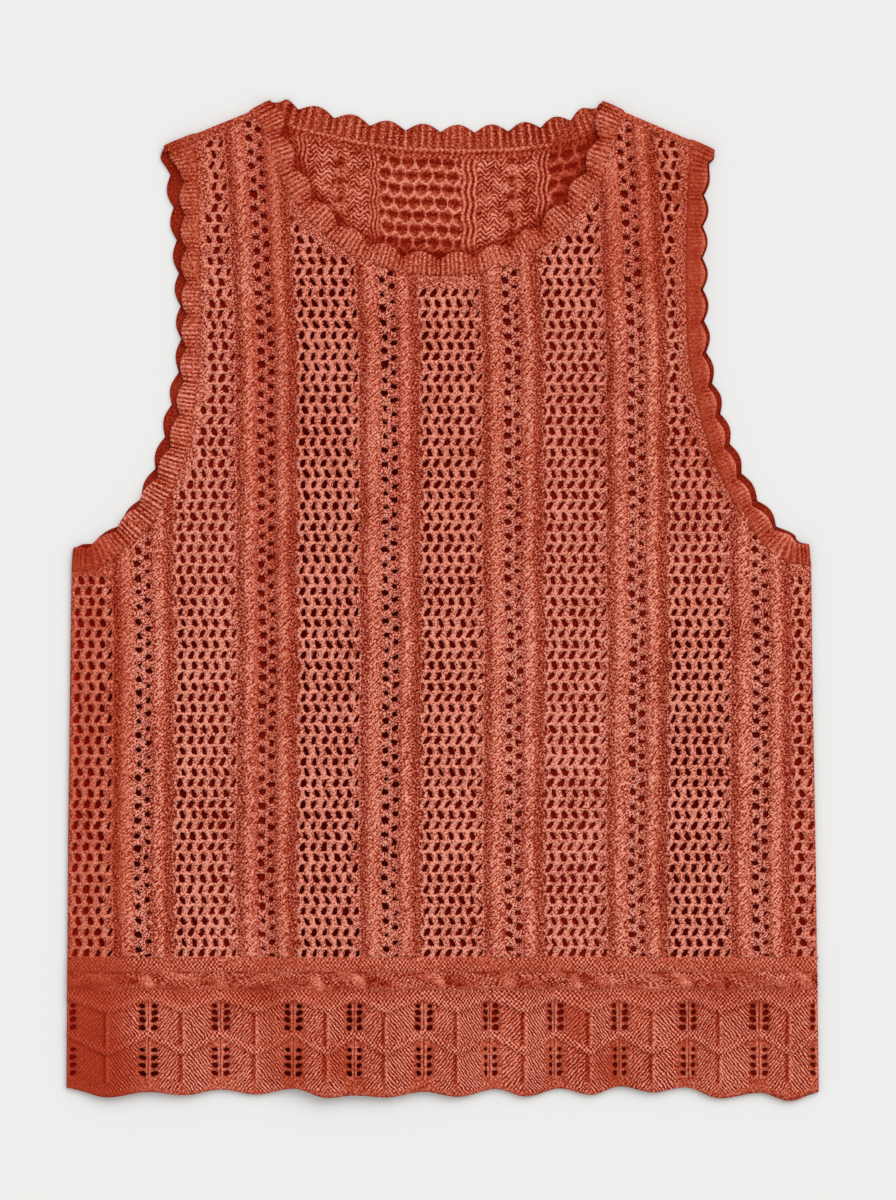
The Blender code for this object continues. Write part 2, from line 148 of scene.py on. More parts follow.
def front_under(x, h):
    """Height of the front panel's inner side off the table."""
    height = np.full(np.shape(x), FRONT_LEVEL)
    for foot, crest, end, rise, low, high in FOLDS:
        along = ease((h - low) / FOLD_FADE) * ease((high - h) / FOLD_FADE)
        up = ease((x - foot) / (crest - foot))
        down = ease((end - x) / (end - crest))
        height = height + rise * along * np.where(x < crest, up, down)
    return height + 0.7 * ease((112.0 - np.abs(x)) / 24.0) * ease((h - 440.0) / 40.0)


def smooth_line(rows, steps):
    """A curve through the rows, with that many steps for each span."""
    points = [np.array(row, float) for row in rows]
    points = [2 * points[0] - points[1]] + points + [2 * points[-1] - points[-2]]
    line = []
    for before, start, end, after in zip(points, points[1:], points[2:], points[3:]):
        for t in np.arange(steps) / steps:
            bend = (2 * before - 5 * start + 4 * end - after) * t * t
            twist = (3 * start - before - 3 * end + after) * t**3
            line.append((2 * start + (end - before) * t + bend + twist) / 2)
    return np.array(line + [points[-2]])


def normals(line):
    """The left-hand normal at each point of a line."""
    along = np.gradient(line, axis=0)
    return np.stack((-along[:, 1], along[:, 0]), axis=1) / np.linalg.norm(along, axis=1)[:, None]


NECK_FRONT = (
    # x, h where the front's neck band is sewn on
    (-112.5, 576.3),
    (-106.5, 568),
    (-98.5, 545),
    (-83, 518),
    (-58, 495.5),
    (-29, 483.5),
    (1.5, 480.5),
    (31, 484.5),
    (58, 497.5),
    (81, 518.5),
    (96.5, 544),
    (103, 566.5),
    (105.5, 576.5),
)
ARM_LEFT = (
    # front x, front h, back x, back h
    (-144, 563.5, -144, 563.5),
    (-143.3, 556, -148.5, 556),
    (-142.5, 545.5, -150.5, 545.5),
    (-141, 496, -146, 496),
    (-141, 438, -144, 438),
    (-144, 405, -149.5, 405),
    (-149.5, 376.5, -156, 376.5),
    (-158, 353, -165.5, 352),
    (-171.5, 333, -177.5, 334),
    (-186.5, 318.5, -190.5, 320),
    (-201, 310.5, -203, 312.5),
    (-215, 308, -215, 308),
)
ARM_RIGHT = (
    # front x, front h, back x, back h
    (144, 560, 144, 560),
    (143, 545.5, 144.5, 545.5),
    (141.5, 496, 143, 496),
    (142.5, 438, 145, 438),
    (148.5, 405, 152, 405),
    (156.5, 376.5, 160.8, 376.5),
    (167.5, 352, 170.5, 354.5),
    (180.5, 331.5, 181.5, 338.5),
    (192, 319, 191.5, 325.5),
    (203.5, 313, 203, 315.5),
    (213.3, 311.5, 213.3, 311.5),
)
TUCK = 3.6  # how far the panel runs on under a band
FAR_OUT, FAR_DOWN = 260, -40  # past both sides and past the hem


def panel_cut(neck, column, tuck):
    """A panel's seams (armhole, neck, armhole) and its outline, which runs on past them by tuck."""
    left = smooth_line([row[column : column + 2] for row in ARM_LEFT], 6)[::-1]
    right = smooth_line([row[column : column + 2] for row in ARM_RIGHT], 6)
    middle = smooth_line(neck, 6)
    past_left, past_middle, past_right = (
        seam + normals(seam) * tuck for seam in (left, middle, right)
    )
    outline = [
        ((-FAR_OUT, FAR_DOWN), (-FAR_OUT, left[0, 1] + tuck)),
        past_left[:-2],
        (left[-1] + (0, 1.0), middle[0] + (0, 1.0)),
        past_middle[2:-2],
        (middle[-1] + (0, 1.0), right[0] + (0, 1.0)),
        past_right[2:],
        ((FAR_OUT, right[-1, 1] + tuck), (FAR_OUT, FAR_DOWN)),
    ]
    return (left, middle, right), np.concatenate(outline)


front_seams, front_outline = panel_cut(NECK_FRONT, 0, TUCK)


def inside(points, outline):
    """Which of the points lie inside a closed outline."""
    x, y = points[:, 0], points[:, 1]
    result = np.zeros(len(points), bool)
    for (ax, ay), (bx, by) in zip(outline, np.roll(outline, -1, axis=0)):
        if ay != by:
            crosses = (ay > y) != (by > y)
            result ^= crosses & (x < ax + (y - ay) / (by - ay) * (bx - ax))
    return result


def distance_to(x, h, lines):
    """How far each place is from the nearest of some lines."""
    points = np.stack((np.ravel(x), np.ravel(h)), axis=1)
    best = np.full(len(points), 1e9)
    for line in lines:
        for a, b in zip(line, line[1:]):
            along = b - a
            t = np.clip(((points - a) @ along) / (along @ along), 0, 1)
            best = np.minimum(best, np.linalg.norm(points - a - t[:, None] * along, axis=1))
    return best.reshape(np.shape(x))


# soft patches of painted shade, where the cloth turns from the light or dips into a fold: there the
# colour is painted darker, more saturated and lower in contrast
PAINTED_SHADE_PATCHES = (
    # middle x, h, reach across, reach up, how strong the painted shade is
    (-209, 36, 26, 50, 0.85),
    (-193, 17, 20, 15, 0.6),
    (-189, 205, 7, 128, 0.45),
    (-211, 200, 16, 150, 0.6),
    (-104.5, 330, 7, 270, 0.35),
    (-94, 300, 12, 240, 0.15),
    (-124, 555, 42, 52, 0.25),
    (122, 530, 36, 72, 0.35),
    (153, 395, 16, 62, 0.2),
    (150, 495, 9, 60, 0.35),
    (-130, 62, 105, 8, 0.35),
    (140, 60, 70, 8, 0.25),
    (-92, 32, 13, 22, 0.4),
    (-62, 22, 8, 12, 0.45),
    (96, 19, 8, 11, 0.45),
    (77, 46, 6, 11, 0.4),
    (-208, 317, 13, 13, 0.5),
    (212, 200, 11, 150, 0.2),
    (0, 425, 185, 125, 0.13),
)


def painted_shade_at(x, h):
    """0 to 1, how strongly a place is painted with shade."""
    plain = np.ones(len(x))
    for middle_x, middle_h, across, up, share in PAINTED_SHADE_PATCHES:
        off = ((x - middle_x) / across) ** 4 + ((h - middle_h) / up) ** 4
        plain = plain * (1 - share * np.exp(-off))
    return 1 - plain


def knit_cells(bm, across, up, spot, opened, outline, dents=0.0):
    """Knits across by up cells into bm, as far as an outline. For arrays of column and row
    numbers, spot gives the corners' places x, h, z and their pattern: two coordinates in
    centimetres, how light the yarn is painted (painted light and shade over its relief included),
    the shares of moss and of slanted lines (short dark flecks below nothing), and how much deeper
    its colour is, painted shade included. opened says which cells are gaps, where there are
    any; with dents they stay, as dents of that size, coloured darkest as painted shade."""
    made = bmesh.ops.create_grid(bm, x_segments=across, y_segments=up, size=1.0)["verts"]
    flat = np.array([v.co[:2] for v in made])
    low, high = flat.min(axis=0), flat.max(axis=0)
    steps = np.rint((flat - low) / (high - low) * (across, up)).astype(int)
    places, pattern = (np.stack(np.broadcast_arrays(*a), axis=1) for a in spot(*steps.T))
    kept = inside(places[:, :2], outline)
    number = {v: n for n, v in enumerate(made)}
    for v, place in zip(made, places):
        v.co = (place[0] / 1000, (place[1] - HALF_LENGTH) / 1000, place[2] / 1000)
    cells = list(dict.fromkeys(f for v in made for f in v.link_faces))
    corners = np.array([[number[v] for v in f.verts] for f in cells])
    column, row = steps[corners].min(axis=1).T
    gaps = opened(column, row) if opened else np.zeros(len(cells), bool)
    gone = ~kept[corners].all(axis=1)
    if dents:
        touching = np.bincount(corners[gaps].ravel(), minlength=len(made))
        for n in np.nonzero(touching == 4)[0]:
            made[n].co.z += dents / 1000
    else:
        gone |= gaps
    chart = bm.loops.layers.uv.get("pattern") or bm.loops.layers.uv.new("pattern")
    yarn = bm.loops.layers.float_color.get("yarn") or bm.loops.layers.float_color.new("yarn")
    # adds the painted shade patches to each corner's own share of deeper colour
    pattern[:, 5] = 1 - (1 - painted_shade_at(places[:, 0], places[:, 1])) * (1 - pattern[:, 5])
    for f, out, gap in zip(cells, gone, gaps):
        if not out:
            for loop in f.loops:
                look = pattern[number[loop.vert]]
                loop[chart].uv = look[:2]
                # gap cells get the darkest colour: painted shade in the back's dents
                loop[yarn] = (0, 0, 0, 0) if gap else look[2:]
    bmesh.ops.delete(bm, geom=[f for f, out in zip(cells, gone) if out], context="FACES")


def knit_piece(
    name, node, material, parts, outline, wall=0.0, dents=0.0, closed=False, turned_over=False
):
    """Knits a named piece of cloth out of its parts and has it stand for a CAD node. It gets a
    wall this thick, if any. closed joins its last column to its first, and turned_over is for
    cloth whose right side looks down."""
    bm = bmesh.new()
    for part in parts:
        knit_cells(bm, *part, outline, dents)
    if closed:
        bmesh.ops.remove_doubles(bm, verts=bm.verts, dist=0.000002)
    if turned_over:
        bmesh.ops.reverse_faces(bm, faces=bm.faces)
    mesh = bpy.data.meshes.new(name)
    bm.to_mesh(mesh)
    bm.free()
    mesh.shade_smooth()
    mesh.materials.append(material)
    piece = put_in_scene(name, mesh)
    if wall:
        cloth = piece.modifiers.new("wall", "SOLIDIFY")
        cloth.thickness = wall / 1000
        cloth.offset = -1
    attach(piece, "root")
    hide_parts(node)
    return piece


GROUP_PITCH = 72.0
GROUP_CENTRES = 5.5 + (np.arange(6) - 2.5) * GROUP_PITCH
GROUP_HALF = 17.3  # half a group of ribs, out to the net's edge below its gutter
NET_COLUMNS = (4, 6, 6, 6, 6, 6, 2)
NET_ROW = 6.21
NET_FOOT = 83.2
NET_ROWS = 80
# across a cell, a strand's sideways drift at each quarter of the row, as a share of a column
DRIFT = np.array(((-0.07, -0.15, -0.17, -0.12), (0.07, 0.15, 0.17, 0.12)))
GAP_MIDDLE = -0.37  # an even row's first gap, in columns from its stripe's edge
STRAND_MIDDLE = -0.72  # the strand before it
ODD_SHIFT = 0.3  # how far an odd row's gaps stand beside an even row's
GAP_WIDTH = 0.235
GAP_HEIGHT = 0.39
NET_LEAN = (  # how far the gaps of the even and the odd rows lean, in each stripe
    (0.08, -0.06),
    (0.11, -0.08),
    (0.07, -0.13),
    (0.17, -0.09),
    (0.18, -0.1),
    (0.15, -0.08),
    (0.1, -0.06),
)


def net_edges(stripe, h):
    """Both edges of a stripe of net at a height."""
    low = side_left(h) if stripe == 0 else GROUP_CENTRES[stripe - 1] + GROUP_HALF + lean(h)
    high = side_right(h) if stripe == 6 else GROUP_CENTRES[stripe] - GROUP_HALF + lean(h)
    return low, high


SHOULDERS = (
    np.array(((-147.0, 562.3), (-109.0, 577.7))),
    np.array(((102.0, 577.9), (147.0, 558.7))),
)


def borders(seams):
    """The lines along which bands or shoulder seams lie over a panel's edge."""
    return seams + SHOULDERS + tuple(line - (0, 2.5) for line in SHOULDERS)


def mixed(value, target, share):
    """A share of the way from a value to its target."""
    return value + (target - value) * share


def tucked_under(x, h, height, lines):
    """Thins a panel's height over its inner side where a band is sewn over its edge."""
    near = ease(1 - (distance_to(x, h, lines) - 0.3) / 2.4)
    return mixed(height, 1.1, near)


front_borders = borders(front_seams)


def on_front(x, h, height):
    """Where the outer side of the front's knitting lies, from its height over the inner side."""
    return front_under(x, h) + tucked_under(x, h, height, front_borders)


def gap_ring(step_x, step_y, drawn_in):
    """Which corners lie round a gap, and how far the slanting ones are drawn in to its middle."""
    ring = (np.abs(step_x) <= 1) & (np.abs(step_y) <= 1)
    return ring, np.where((step_x != 0) & (step_y != 0), drawn_in, 1.0)


def net_spots(stripe, lay, seed, seams):
    """A stripe of net as knit_cells takes it: cells of four by four quads round each gap."""
    columns = NET_COLUMNS[stripe]
    chance = np.random.RandomState(seed + stripe)
    jitter = chance.uniform(-1, 1, (columns + 1, NET_ROWS + 1, 4))
    rough = chance.uniform(-1, 1, (columns + 1, NET_ROWS + 1, 5, 5, 2))
    cells, rows = np.meshgrid(np.arange(columns + 1), np.arange(NET_ROWS + 1), indexing="ij")
    middle_h = NET_FOOT + (rows + 0.5) * NET_ROW
    low, high = net_edges(stripe, middle_h)
    middle_x = low + (high - low) * (cells + GAP_MIDDLE + ODD_SHIFT * (rows % 2)) / columns
    near_arm = distance_to(middle_x, middle_h, (seams[0], seams[2]))
    near_neck = distance_to(middle_x, middle_h, (seams[1],) + SHOULDERS)
    closed = (near_arm < 3.4 + 1.2 * ease((middle_h - 340) / 40)) | (near_neck < 4.2)
    half_shut = (cells == 0) & (rows % 2 == 1) & (stripe > 0) & ~closed
    closed |= (cells == 0) | ((cells == columns) & (rows % 2 == 1))

    def strand(number, odd, line):
        """Where the strand before a cell stands, in columns."""
        stands = number + STRAND_MIDDLE + DRIFT[odd, line]
        return np.where(number == 0, 0.0, np.where(number == columns + 1, columns, stands))

    def spot(i, j):
        cell = np.minimum(i // 4, columns)
        quarter = i - 4 * cell
        row, line = j // 4, j % 4
        odd = row % 2
        before, after = strand(cell, odd, line), strand(cell + 1, odd, line)
        across = before + (after - before) * quarter / 4
        sway = jitter[cell, row].T
        ring_x, ring_y = quarter - 2.0, line - 2.0
        shut = closed[cell, row]
        ring, corner = gap_ring(ring_x, ring_y, 0.76)
        ring = ring & ~shut
        middle = cell + GAP_MIDDLE + ODD_SHIFT * odd + 0.04 * sway[0]
        share = cell / columns
        slant = np.where(odd, -0.04 * (1 - share) ** 2, 0.05 * share**2)
        slant = slant + np.array(NET_LEAN[stripe])[odd] + 0.04 * sway[1]
        wide = GAP_WIDTH * (1 + 0.2 * sway[2]) * (1 - 0.2 * ring_y)
        wide = wide * np.where(cell == columns, 0.7, 1.0)
        tall = GAP_HEIGHT * (1 + 0.1 * sway[3])
        uneven = rough[cell, row, quarter, line].T
        gap_x = middle + corner * (wide * ring_x + slant * ring_y) + 0.035 * uneven[0]
        gap_y = row + 0.5 + corner * tall * ring_y + 0.03 * uneven[1]
        across = np.clip(np.where(ring, gap_x, across), 0, columns)
        h = NET_FOOT + np.where(ring, gap_y, j / 4) * NET_ROW
        low, high = net_edges(stripe, h)
        x = low + (high - low) * across / columns
        crest = np.where(ring, 1.05, np.where((quarter == 0) & (line == 0), 1.75, 1.55))
        crest = np.where(shut, 1.35, crest)
        # gap rims are painted darker and strands lighter: painted shade and light over the relief
        light = np.where(ring, 0.61, 0.87) + 0.08 * sway[1]
        light = np.where(shut | (i == 0) | (across == columns), 0.54, light)
        crest = crest - ease(1 - from_sides(x, h) / 3.0)
        # a half-shut gap stays as a dent, painted dark as shade
        dent = half_shut[cell, row] & (quarter > 0) & (line > 0)
        crest, light = np.where(dent, 0.8, crest), np.where(dent, 0.16, light)
        crest = np.where(j == 0, 1.0, crest)
        pattern = ((x - lean(h)) / 10, h / 10, light, 0.3, -0.65 - 0.15 * shut, 0.0)
        return (x, h, lay(x, h, crest)), pattern

    def opened(i, j):
        return np.isin(i % 4, (1, 2)) & np.isin(j % 4, (1, 2)) & ~closed[i // 4, j // 4]

    return 4 * columns + 4, 4 * NET_ROWS, spot, opened


YARN_TONES = (
    # how light the yarn is there, and its colour
    (0.0, (0.11, 0.002, 0.0003)),
    (0.25, (0.25, 0.013, 0.003)),
    (0.55, (0.46, 0.083, 0.040)),
    (1.0, (0.86, 0.340, 0.250)),
)
DEEPER_COLOUR_AND_SHADE_TINT = (-0.12, -0.48, -0.58)  # what deeper colour and painted shade take off the colour


def knit_material(
    name, tones=YARN_TONES, contrast=0.55, moss_size=0.31, line_size=0.27, fluff=3.5, twill=0.0
):
    """A matt cotton knit, from painted shade between the stitches to painted light on the yarn. The
    pieces' own pattern coordinates place the moss dashes, slanted lines and flecks, and their yarn
    colours weigh them. Deeper colour and painted shade darken the yarn and lower its contrast."""
    material = bpy.data.materials.new(name)
    material.use_nodes = True
    tree = material.node_tree
    shader = tree.nodes["Principled BSDF"]
    shader.inputs["Roughness"].default_value = 0.9
    shader.inputs["Specular IOR Level"].default_value = 0.04

    def node(kind, *values, **settings):
        """A new node's outputs, from its first inputs (numbers or outputs) and its settings."""
        made = tree.nodes.new(kind)
        for key, value in settings.items():
            setattr(made, key, value)
        for socket, value in zip(made.inputs, values):
            if isinstance(value, bpy.types.NodeSocket):
                tree.links.new(value, socket)
            else:
                socket.default_value = value
        return made.outputs

    def maths(operation, *values):
        return node("ShaderNodeMath", *values, operation=operation)[0]

    def noise(scale, detail, where):
        return node("ShaderNodeTexNoise", where, 0.0, scale, detail)

    place = node("ShaderNodeTexCoord")["Object"]
    yarn = node("ShaderNodeAttribute", attribute_name="yarn")
    light, moss_share, slant_share = node("ShaderNodeSeparateColor", yarn["Color"])
    deeper_colour_and_shade = yarn["Alpha"]
    u, v, _ = node("ShaderNodeSeparateXYZ", node("ShaderNodeUVMap", uv_map="pattern")[0])
    sway = node("ShaderNodeSeparateColor", noise(260, 2, place)["Color"])
    u = maths("MULTIPLY_ADD", sway[0], 0.28, u)
    v = maths("MULTIPLY_ADD", sway[1], 0.28, v)
    up, down = maths("ADD", v, u), maths("SUBTRACT", v, u)
    rising = maths("MULTIPLY", down, 2 * math.pi / line_size)
    along = maths("COSINE", maths("MULTIPLY", up, 2 * math.pi / 0.32))
    slant = maths("MULTIPLY", maths("SINE", rising), maths("MULTIPLY_ADD", along, 0.35, 0.75))
    broad = maths("SINE", maths("MULTIPLY_ADD", rising, 0.45, maths("MULTIPLY", sway[2], 9.0)))
    slant = maths("MULTIPLY_ADD", broad, twill, slant)
    columns = maths("COSINE", maths("MULTIPLY", u, 2 * math.pi / moss_size))
    rows = maths("COSINE", maths("MULTIPLY", v, 2 * math.pi / moss_size))
    moss = maths("MULTIPLY", columns, rows)
    fibres = maths("SUBTRACT", noise(850, 2, place)[0], 0.5)
    drift = maths("SUBTRACT", noise(28, 2, place)[0], 0.5)
    fleck = noise(10.5, 1, node("ShaderNodeCombineXYZ", maths("MULTIPLY", up, 0.45), down)[0])[0]
    flecks = maths("MULTIPLY", maths("SUBTRACT", fleck, 0.5), 9.0)
    flecks = maths("MINIMUM", maths("MAXIMUM", flecks, -1.1), 1.0)
    fleck_share = maths("MAXIMUM", maths("MULTIPLY", slant_share, -1.0), 0.0)
    relief = maths("MULTIPLY", moss, moss_share)
    relief = maths("MULTIPLY_ADD", slant, maths("MAXIMUM", slant_share, 0.0), relief)
    relief = maths("MULTIPLY_ADD", flecks, fleck_share, relief)
    relief = maths("MULTIPLY_ADD", fibres, fluff, relief)
    shown = maths("MULTIPLY_ADD", deeper_colour_and_shade, -0.6 * contrast, contrast)
    # the colour follows the stitch relief: painted shade in its hollows, painted light on its
    # crests
    tone = maths("MULTIPLY_ADD", relief, shown, light)
    tone = maths("MULTIPLY_ADD", drift, 0.35, tone)
    to_middle = maths("SUBTRACT", 0.42, tone)
    tone = maths("MULTIPLY_ADD", to_middle, maths("MULTIPLY", deeper_colour_and_shade, 0.5), tone)
    ramp = node("ShaderNodeValToRGB", maths("MAXIMUM", tone, 0.08))[0]
    stops = ramp.node.color_ramp.elements
    stops[0].color = (*tones[0][1], 1)
    stops[1].color = (*tones[-1][1], 1)
    for at, colour in tones[1:-1]:
        stops.new(at).color = (*colour, 1)
    tint = node("ShaderNodeVectorMath", deeper_colour_and_shade, DEEPER_COLOUR_AND_SHADE_TINT, (1, 1, 1), operation="MULTIPLY_ADD")[0]
    dyed = node("ShaderNodeVectorMath", ramp, tint, operation="MULTIPLY")[0]
    tree.links.new(dyed, shader.inputs["Base Color"])
    bump = node("ShaderNodeBump", 0.35, 0.0004)[0]
    tree.links.new(relief, bump.node.inputs["Height"])
    tree.links.new(bump, shader.inputs["Normal"])
    return material


lace_yarn = knit_material("lace_yarn")
nets = [net_spots(stripe, on_front, 40, front_seams) for stripe in range(len(NET_COLUMNS))]
front_lace = knit_piece("front_lace", "front_panel", lace_yarn, nets, front_outline, wall=0.9)
PANEL_FLAT = (0.439, 0.585)


# ---------------------------------------------------------------- front panel: ribs and ladders
# Between the nets stand six groups: a raised rib, a ladder of two staggered rows of eyelets, and a
# second rib, with a purled gutter down each outer side. They are knitted in one with the nets.

LADDER_ROW = 8.3 / 6
LADDER_ROWS = 356
GROUP_COLUMNS = np.array((
    # offset, height over the inner side, light (with painted light and shade over the relief),
    # moss, slanted lines or flecks, how much deeper the colour is (painted shade in the low
    # gutters)
    (-18.3, 0.75, 0.46, 0.2, -0.8, 0.25),
    (-16.6, 0.95, 0.38, 0.2, -1.2, 0.45),
    (-15.1, 0.95, 0.36, 0.2, -1.2, 0.45),
    (-14.1, 1.55, 0.42, 0.2, -0.8, 0.25),
    (-12.2, 2.15, 0.59, 0.1, 0.4, 0),
    (-9.8, 2.35, 0.67, 0, 0.4, 0),
    (-7.4, 2.15, 0.61, 0, 0.4, 0),
    (-5.9, 1.6, 0.56, 0.1, 0, 0),
    (-5.1, 1.2, 0.50, 0.2, -0.9, 0),
    (-4.5, 1, 0.51, 0.2, -1.1, 0.05),
    (-2.9, 1, 0.51, 0.2, -1.1, 0.05),
    (-1.3, 1, 0.53, 0.2, -1.1, 0.05),
    (-0.1, 1.5, 0.68, 0.2, -0.7, 0),
    (1.1, 1, 0.48, 0.2, -1.2, 0.2),
    (2.7, 1, 0.43, 0.2, -1.3, 0.25),
    (4.3, 1, 0.40, 0.2, -1.3, 0.25),
    (5, 1.2, 0.40, 0.2, -1.1, 0.2),
    (5.8, 1.6, 0.50, 0.1, -0.2, 0.1),
    (7.3, 2.15, 0.61, 0, 0.4, 0),
    (9.3, 2.35, 0.67, 0, 0.4, 0),
    (11.4, 2.15, 0.59, 0.1, 0.4, 0),
    (12.9, 1.55, 0.42, 0.2, -0.8, 0.25),
    (13.9, 0.95, 0.36, 0.2, -1.2, 0.5),
    (15.4, 0.95, 0.35, 0.2, -1.2, 0.5),
    (16.9, 0.95, 0.38, 0.2, -1.2, 0.45),
    (18.3, 0.75, 0.46, 0.2, -0.8, 0.25),
))
LADDERS = (
    # middle column, rows off, half width, half height, slant, light beside a gap
    (10, 3, 1.75, 1.6, -0.6, 0.72),
    (14, 0, 1.5, 1.35, 0.6, 0.58),
)
PLAIT = 12  # the column of the strand that weaves between the two rows of eyelets


def group_spots(group, lay, seed):
    """A group of ribs and ladders as knit_cells takes it, six rows of quads to an eyelet."""
    chance = np.random.RandomState(seed + group)
    jitter = chance.uniform(-1, 1, (2, LADDER_ROWS // 6 + 2, 4))
    rough = chance.uniform(-1, 1, (2, LADDER_ROWS // 6 + 2, 3, 3, 2))

    def spot(i, j):
        offset, height, light, moss, lines, deeper_colour_and_shade = GROUP_COLUMNS[i].T
        h = NET_FOOT + j * LADDER_ROW
        for side, (centre, rows_off, half_wide, half_tall, tilt, by_gap) in enumerate(LADDERS):
            step_x = i - centre
            step_y = (j + rows_off) % 6 - 1
            number = (j + rows_off) // 6
            ring, corner = gap_ring(step_x, step_y, 0.75)
            beside = (np.abs(step_x) <= 1) & ~ring
            sway = jitter[side, number].T
            size = 1.08 - 0.7 * np.clip(sway[3] - 0.3, 0, 1)
            uneven = rough[side, number, np.clip(step_x + 1, 0, 2), np.clip(step_y + 1, 0, 2)].T
            wide = half_wide * (1 + 0.22 * sway[0]) * size
            tall = half_tall * (1 + 0.2 * sway[1]) * size
            slant = tilt + 0.5 * sway[2]
            gap_x = GROUP_COLUMNS[centre, 0] + 0.3 * sway[1]
            gap_x = gap_x + corner * (wide * step_x + slant * step_y)
            gap_h = NET_FOOT + (j - step_y) * LADDER_ROW
            gap_h = gap_h + corner * (tall * step_y - 0.5 * slant * step_x)
            gap_x = gap_x + 0.45 * uneven[0] + 0.3 * sway[3]
            gap_h = gap_h + 0.4 * uneven[1] + 0.4 * sway[0]
            offset = np.where(ring, gap_x, offset)
            h = np.where(ring, gap_h, h)
            # an eyelet's rim is painted darker as shade, and the raised strands beside it lighter
            # as painted light
            height = np.where(ring, 0.85, np.where(beside, 1.45, height))
            light = np.where(ring, 0.38, np.where(beside, by_gap, light))
        weave = 0.75 * np.sin((j + 1.0) * math.pi / 3)
        offset = np.where(i == PLAIT, offset + weave, offset)
        height = np.where(j == 0, np.minimum(height, 1.0), height)
        x = GROUP_CENTRES[group] + offset + lean(h)
        pattern = (offset / 10, h / 10, light, moss, lines, deeper_colour_and_shade)
        return (x, h, lay(x, h, height)), pattern

    def opened(i, j):
        gap = np.zeros(len(i), bool)
        for centre, rows_off, *_ in LADDERS:
            gap |= (i >= centre - 1) & (i <= centre) & ((j + rows_off) % 6 < 2)
        return gap

    return len(GROUP_COLUMNS) - 1, LADDER_ROWS, spot, opened


rib_yarn = knit_material("rib_yarn", contrast=0.68, line_size=0.215, fluff=3.8, twill=0.5)
groups = [group_spots(group, on_front, 70) for group in range(len(GROUP_CENTRES))]
front_ribs = knit_piece("front_ribs", "front_panel", rib_yarn, groups, front_outline, wall=0.9)


# ---------------------------------------------------------------- front panel: leaf-lace hem
# The hem is knitted in one with the front: eleven leaves in two tiers with pairs of eyelets between
# them, a zigzag purl ridge over each tier, a cable row with soft knots, and a moss row on top.

HEM_LEAVES = (
    # notch x, notch h, lobe x, lobe h
    (-219.5, 7.5, -195.5, 2.3),
    (-171.5, 5.5, -151, 3.5),
    (-129.5, 6.7, -108.5, 3.8),
    (-87, 7.5, -67, 2),
    (-51.5, 3.5, -33, 2.3),
    (-11, 5.5, 9, 2.5),
    (31, 7, 48.5, 2.6),
    (68.5, 7.3, 86.5, 3.6),
    (104, 8.7, 123, 5.2),
    (141, 7.9, 162, 1.5),
    (184.5, 4.7, 202.5, 0),
)
HEM_END = (219.5, 5.0)
HEM_BANDS = (
    # rows, h at a notch, h at a lobe, where the band of rows ends
    (2, 8.5, 5),
    (6, 13.3, 10.5),
    (20, 36.5, 26),
    (4, 41.3, 31),
    (16, 58.3, 50.5),
    (5, 64, 57),
    (3, 65.8, 63.6),
    (9, 75.2, 75.2),
    (8, 83, 83),
    (1, 84.5, 84.5),
)
EDGE_ROLL, FAN, LOW_TIER, LOW_RIDGE, HIGH_TIER, HIGH_RIDGE, STEP, CABLE, MOSS, JOIN = range(10)
HALF_LEAF = 17
KNOTS = (-171.0, -129.0, -72.0, -48.0, -1.0, 40.0, 79.0, 141.0, 162.0, 212.0)

EYELETS = np.array((
    # at each notch: how far off it the upper pair stands, half its width; the same for the lower
    (3.7, 1.9, 3.7, 1.9),
    (3.5, 2.1, 3.5, 2.1),
    (3.5, 2, 3.4, 2),
    (3.4, 2, 3.3, 1.9),
    (2.9, 1.6, 2.9, 1.5),
    (3.5, 1.8, 3.1, 1.4),
    (2.8, 1.6, 2.5, 1.1),
    (3.1, 1.6, 2.5, 1.1),
    (3.2, 1.7, 2.6, 1.2),
    (3.1, 1.8, 2.8, 1.2),
    (3.8, 2, 3.4, 1.8),
    (3.7, 1.5, 3.7, 1.5),
))
NOTCH_SHIFT = np.array((0, 0, 0, 0, 0, 0, -3.8, -3.5, -1.1, 2.4, 0, 0))  # off the edge's notch

band_rows, band_notch, band_lobe = np.array(HEM_BANDS).T
hem_first = np.append(0, np.cumsum(band_rows)).astype(int)  # each band's first row
hem_band = np.append(0, np.repeat(np.arange(len(HEM_BANDS)), np.diff(hem_first)))  # each row's


def bell(t):
    """1 at nothing, and softly down to nothing on both sides of it."""
    return np.exp(-(t**2))


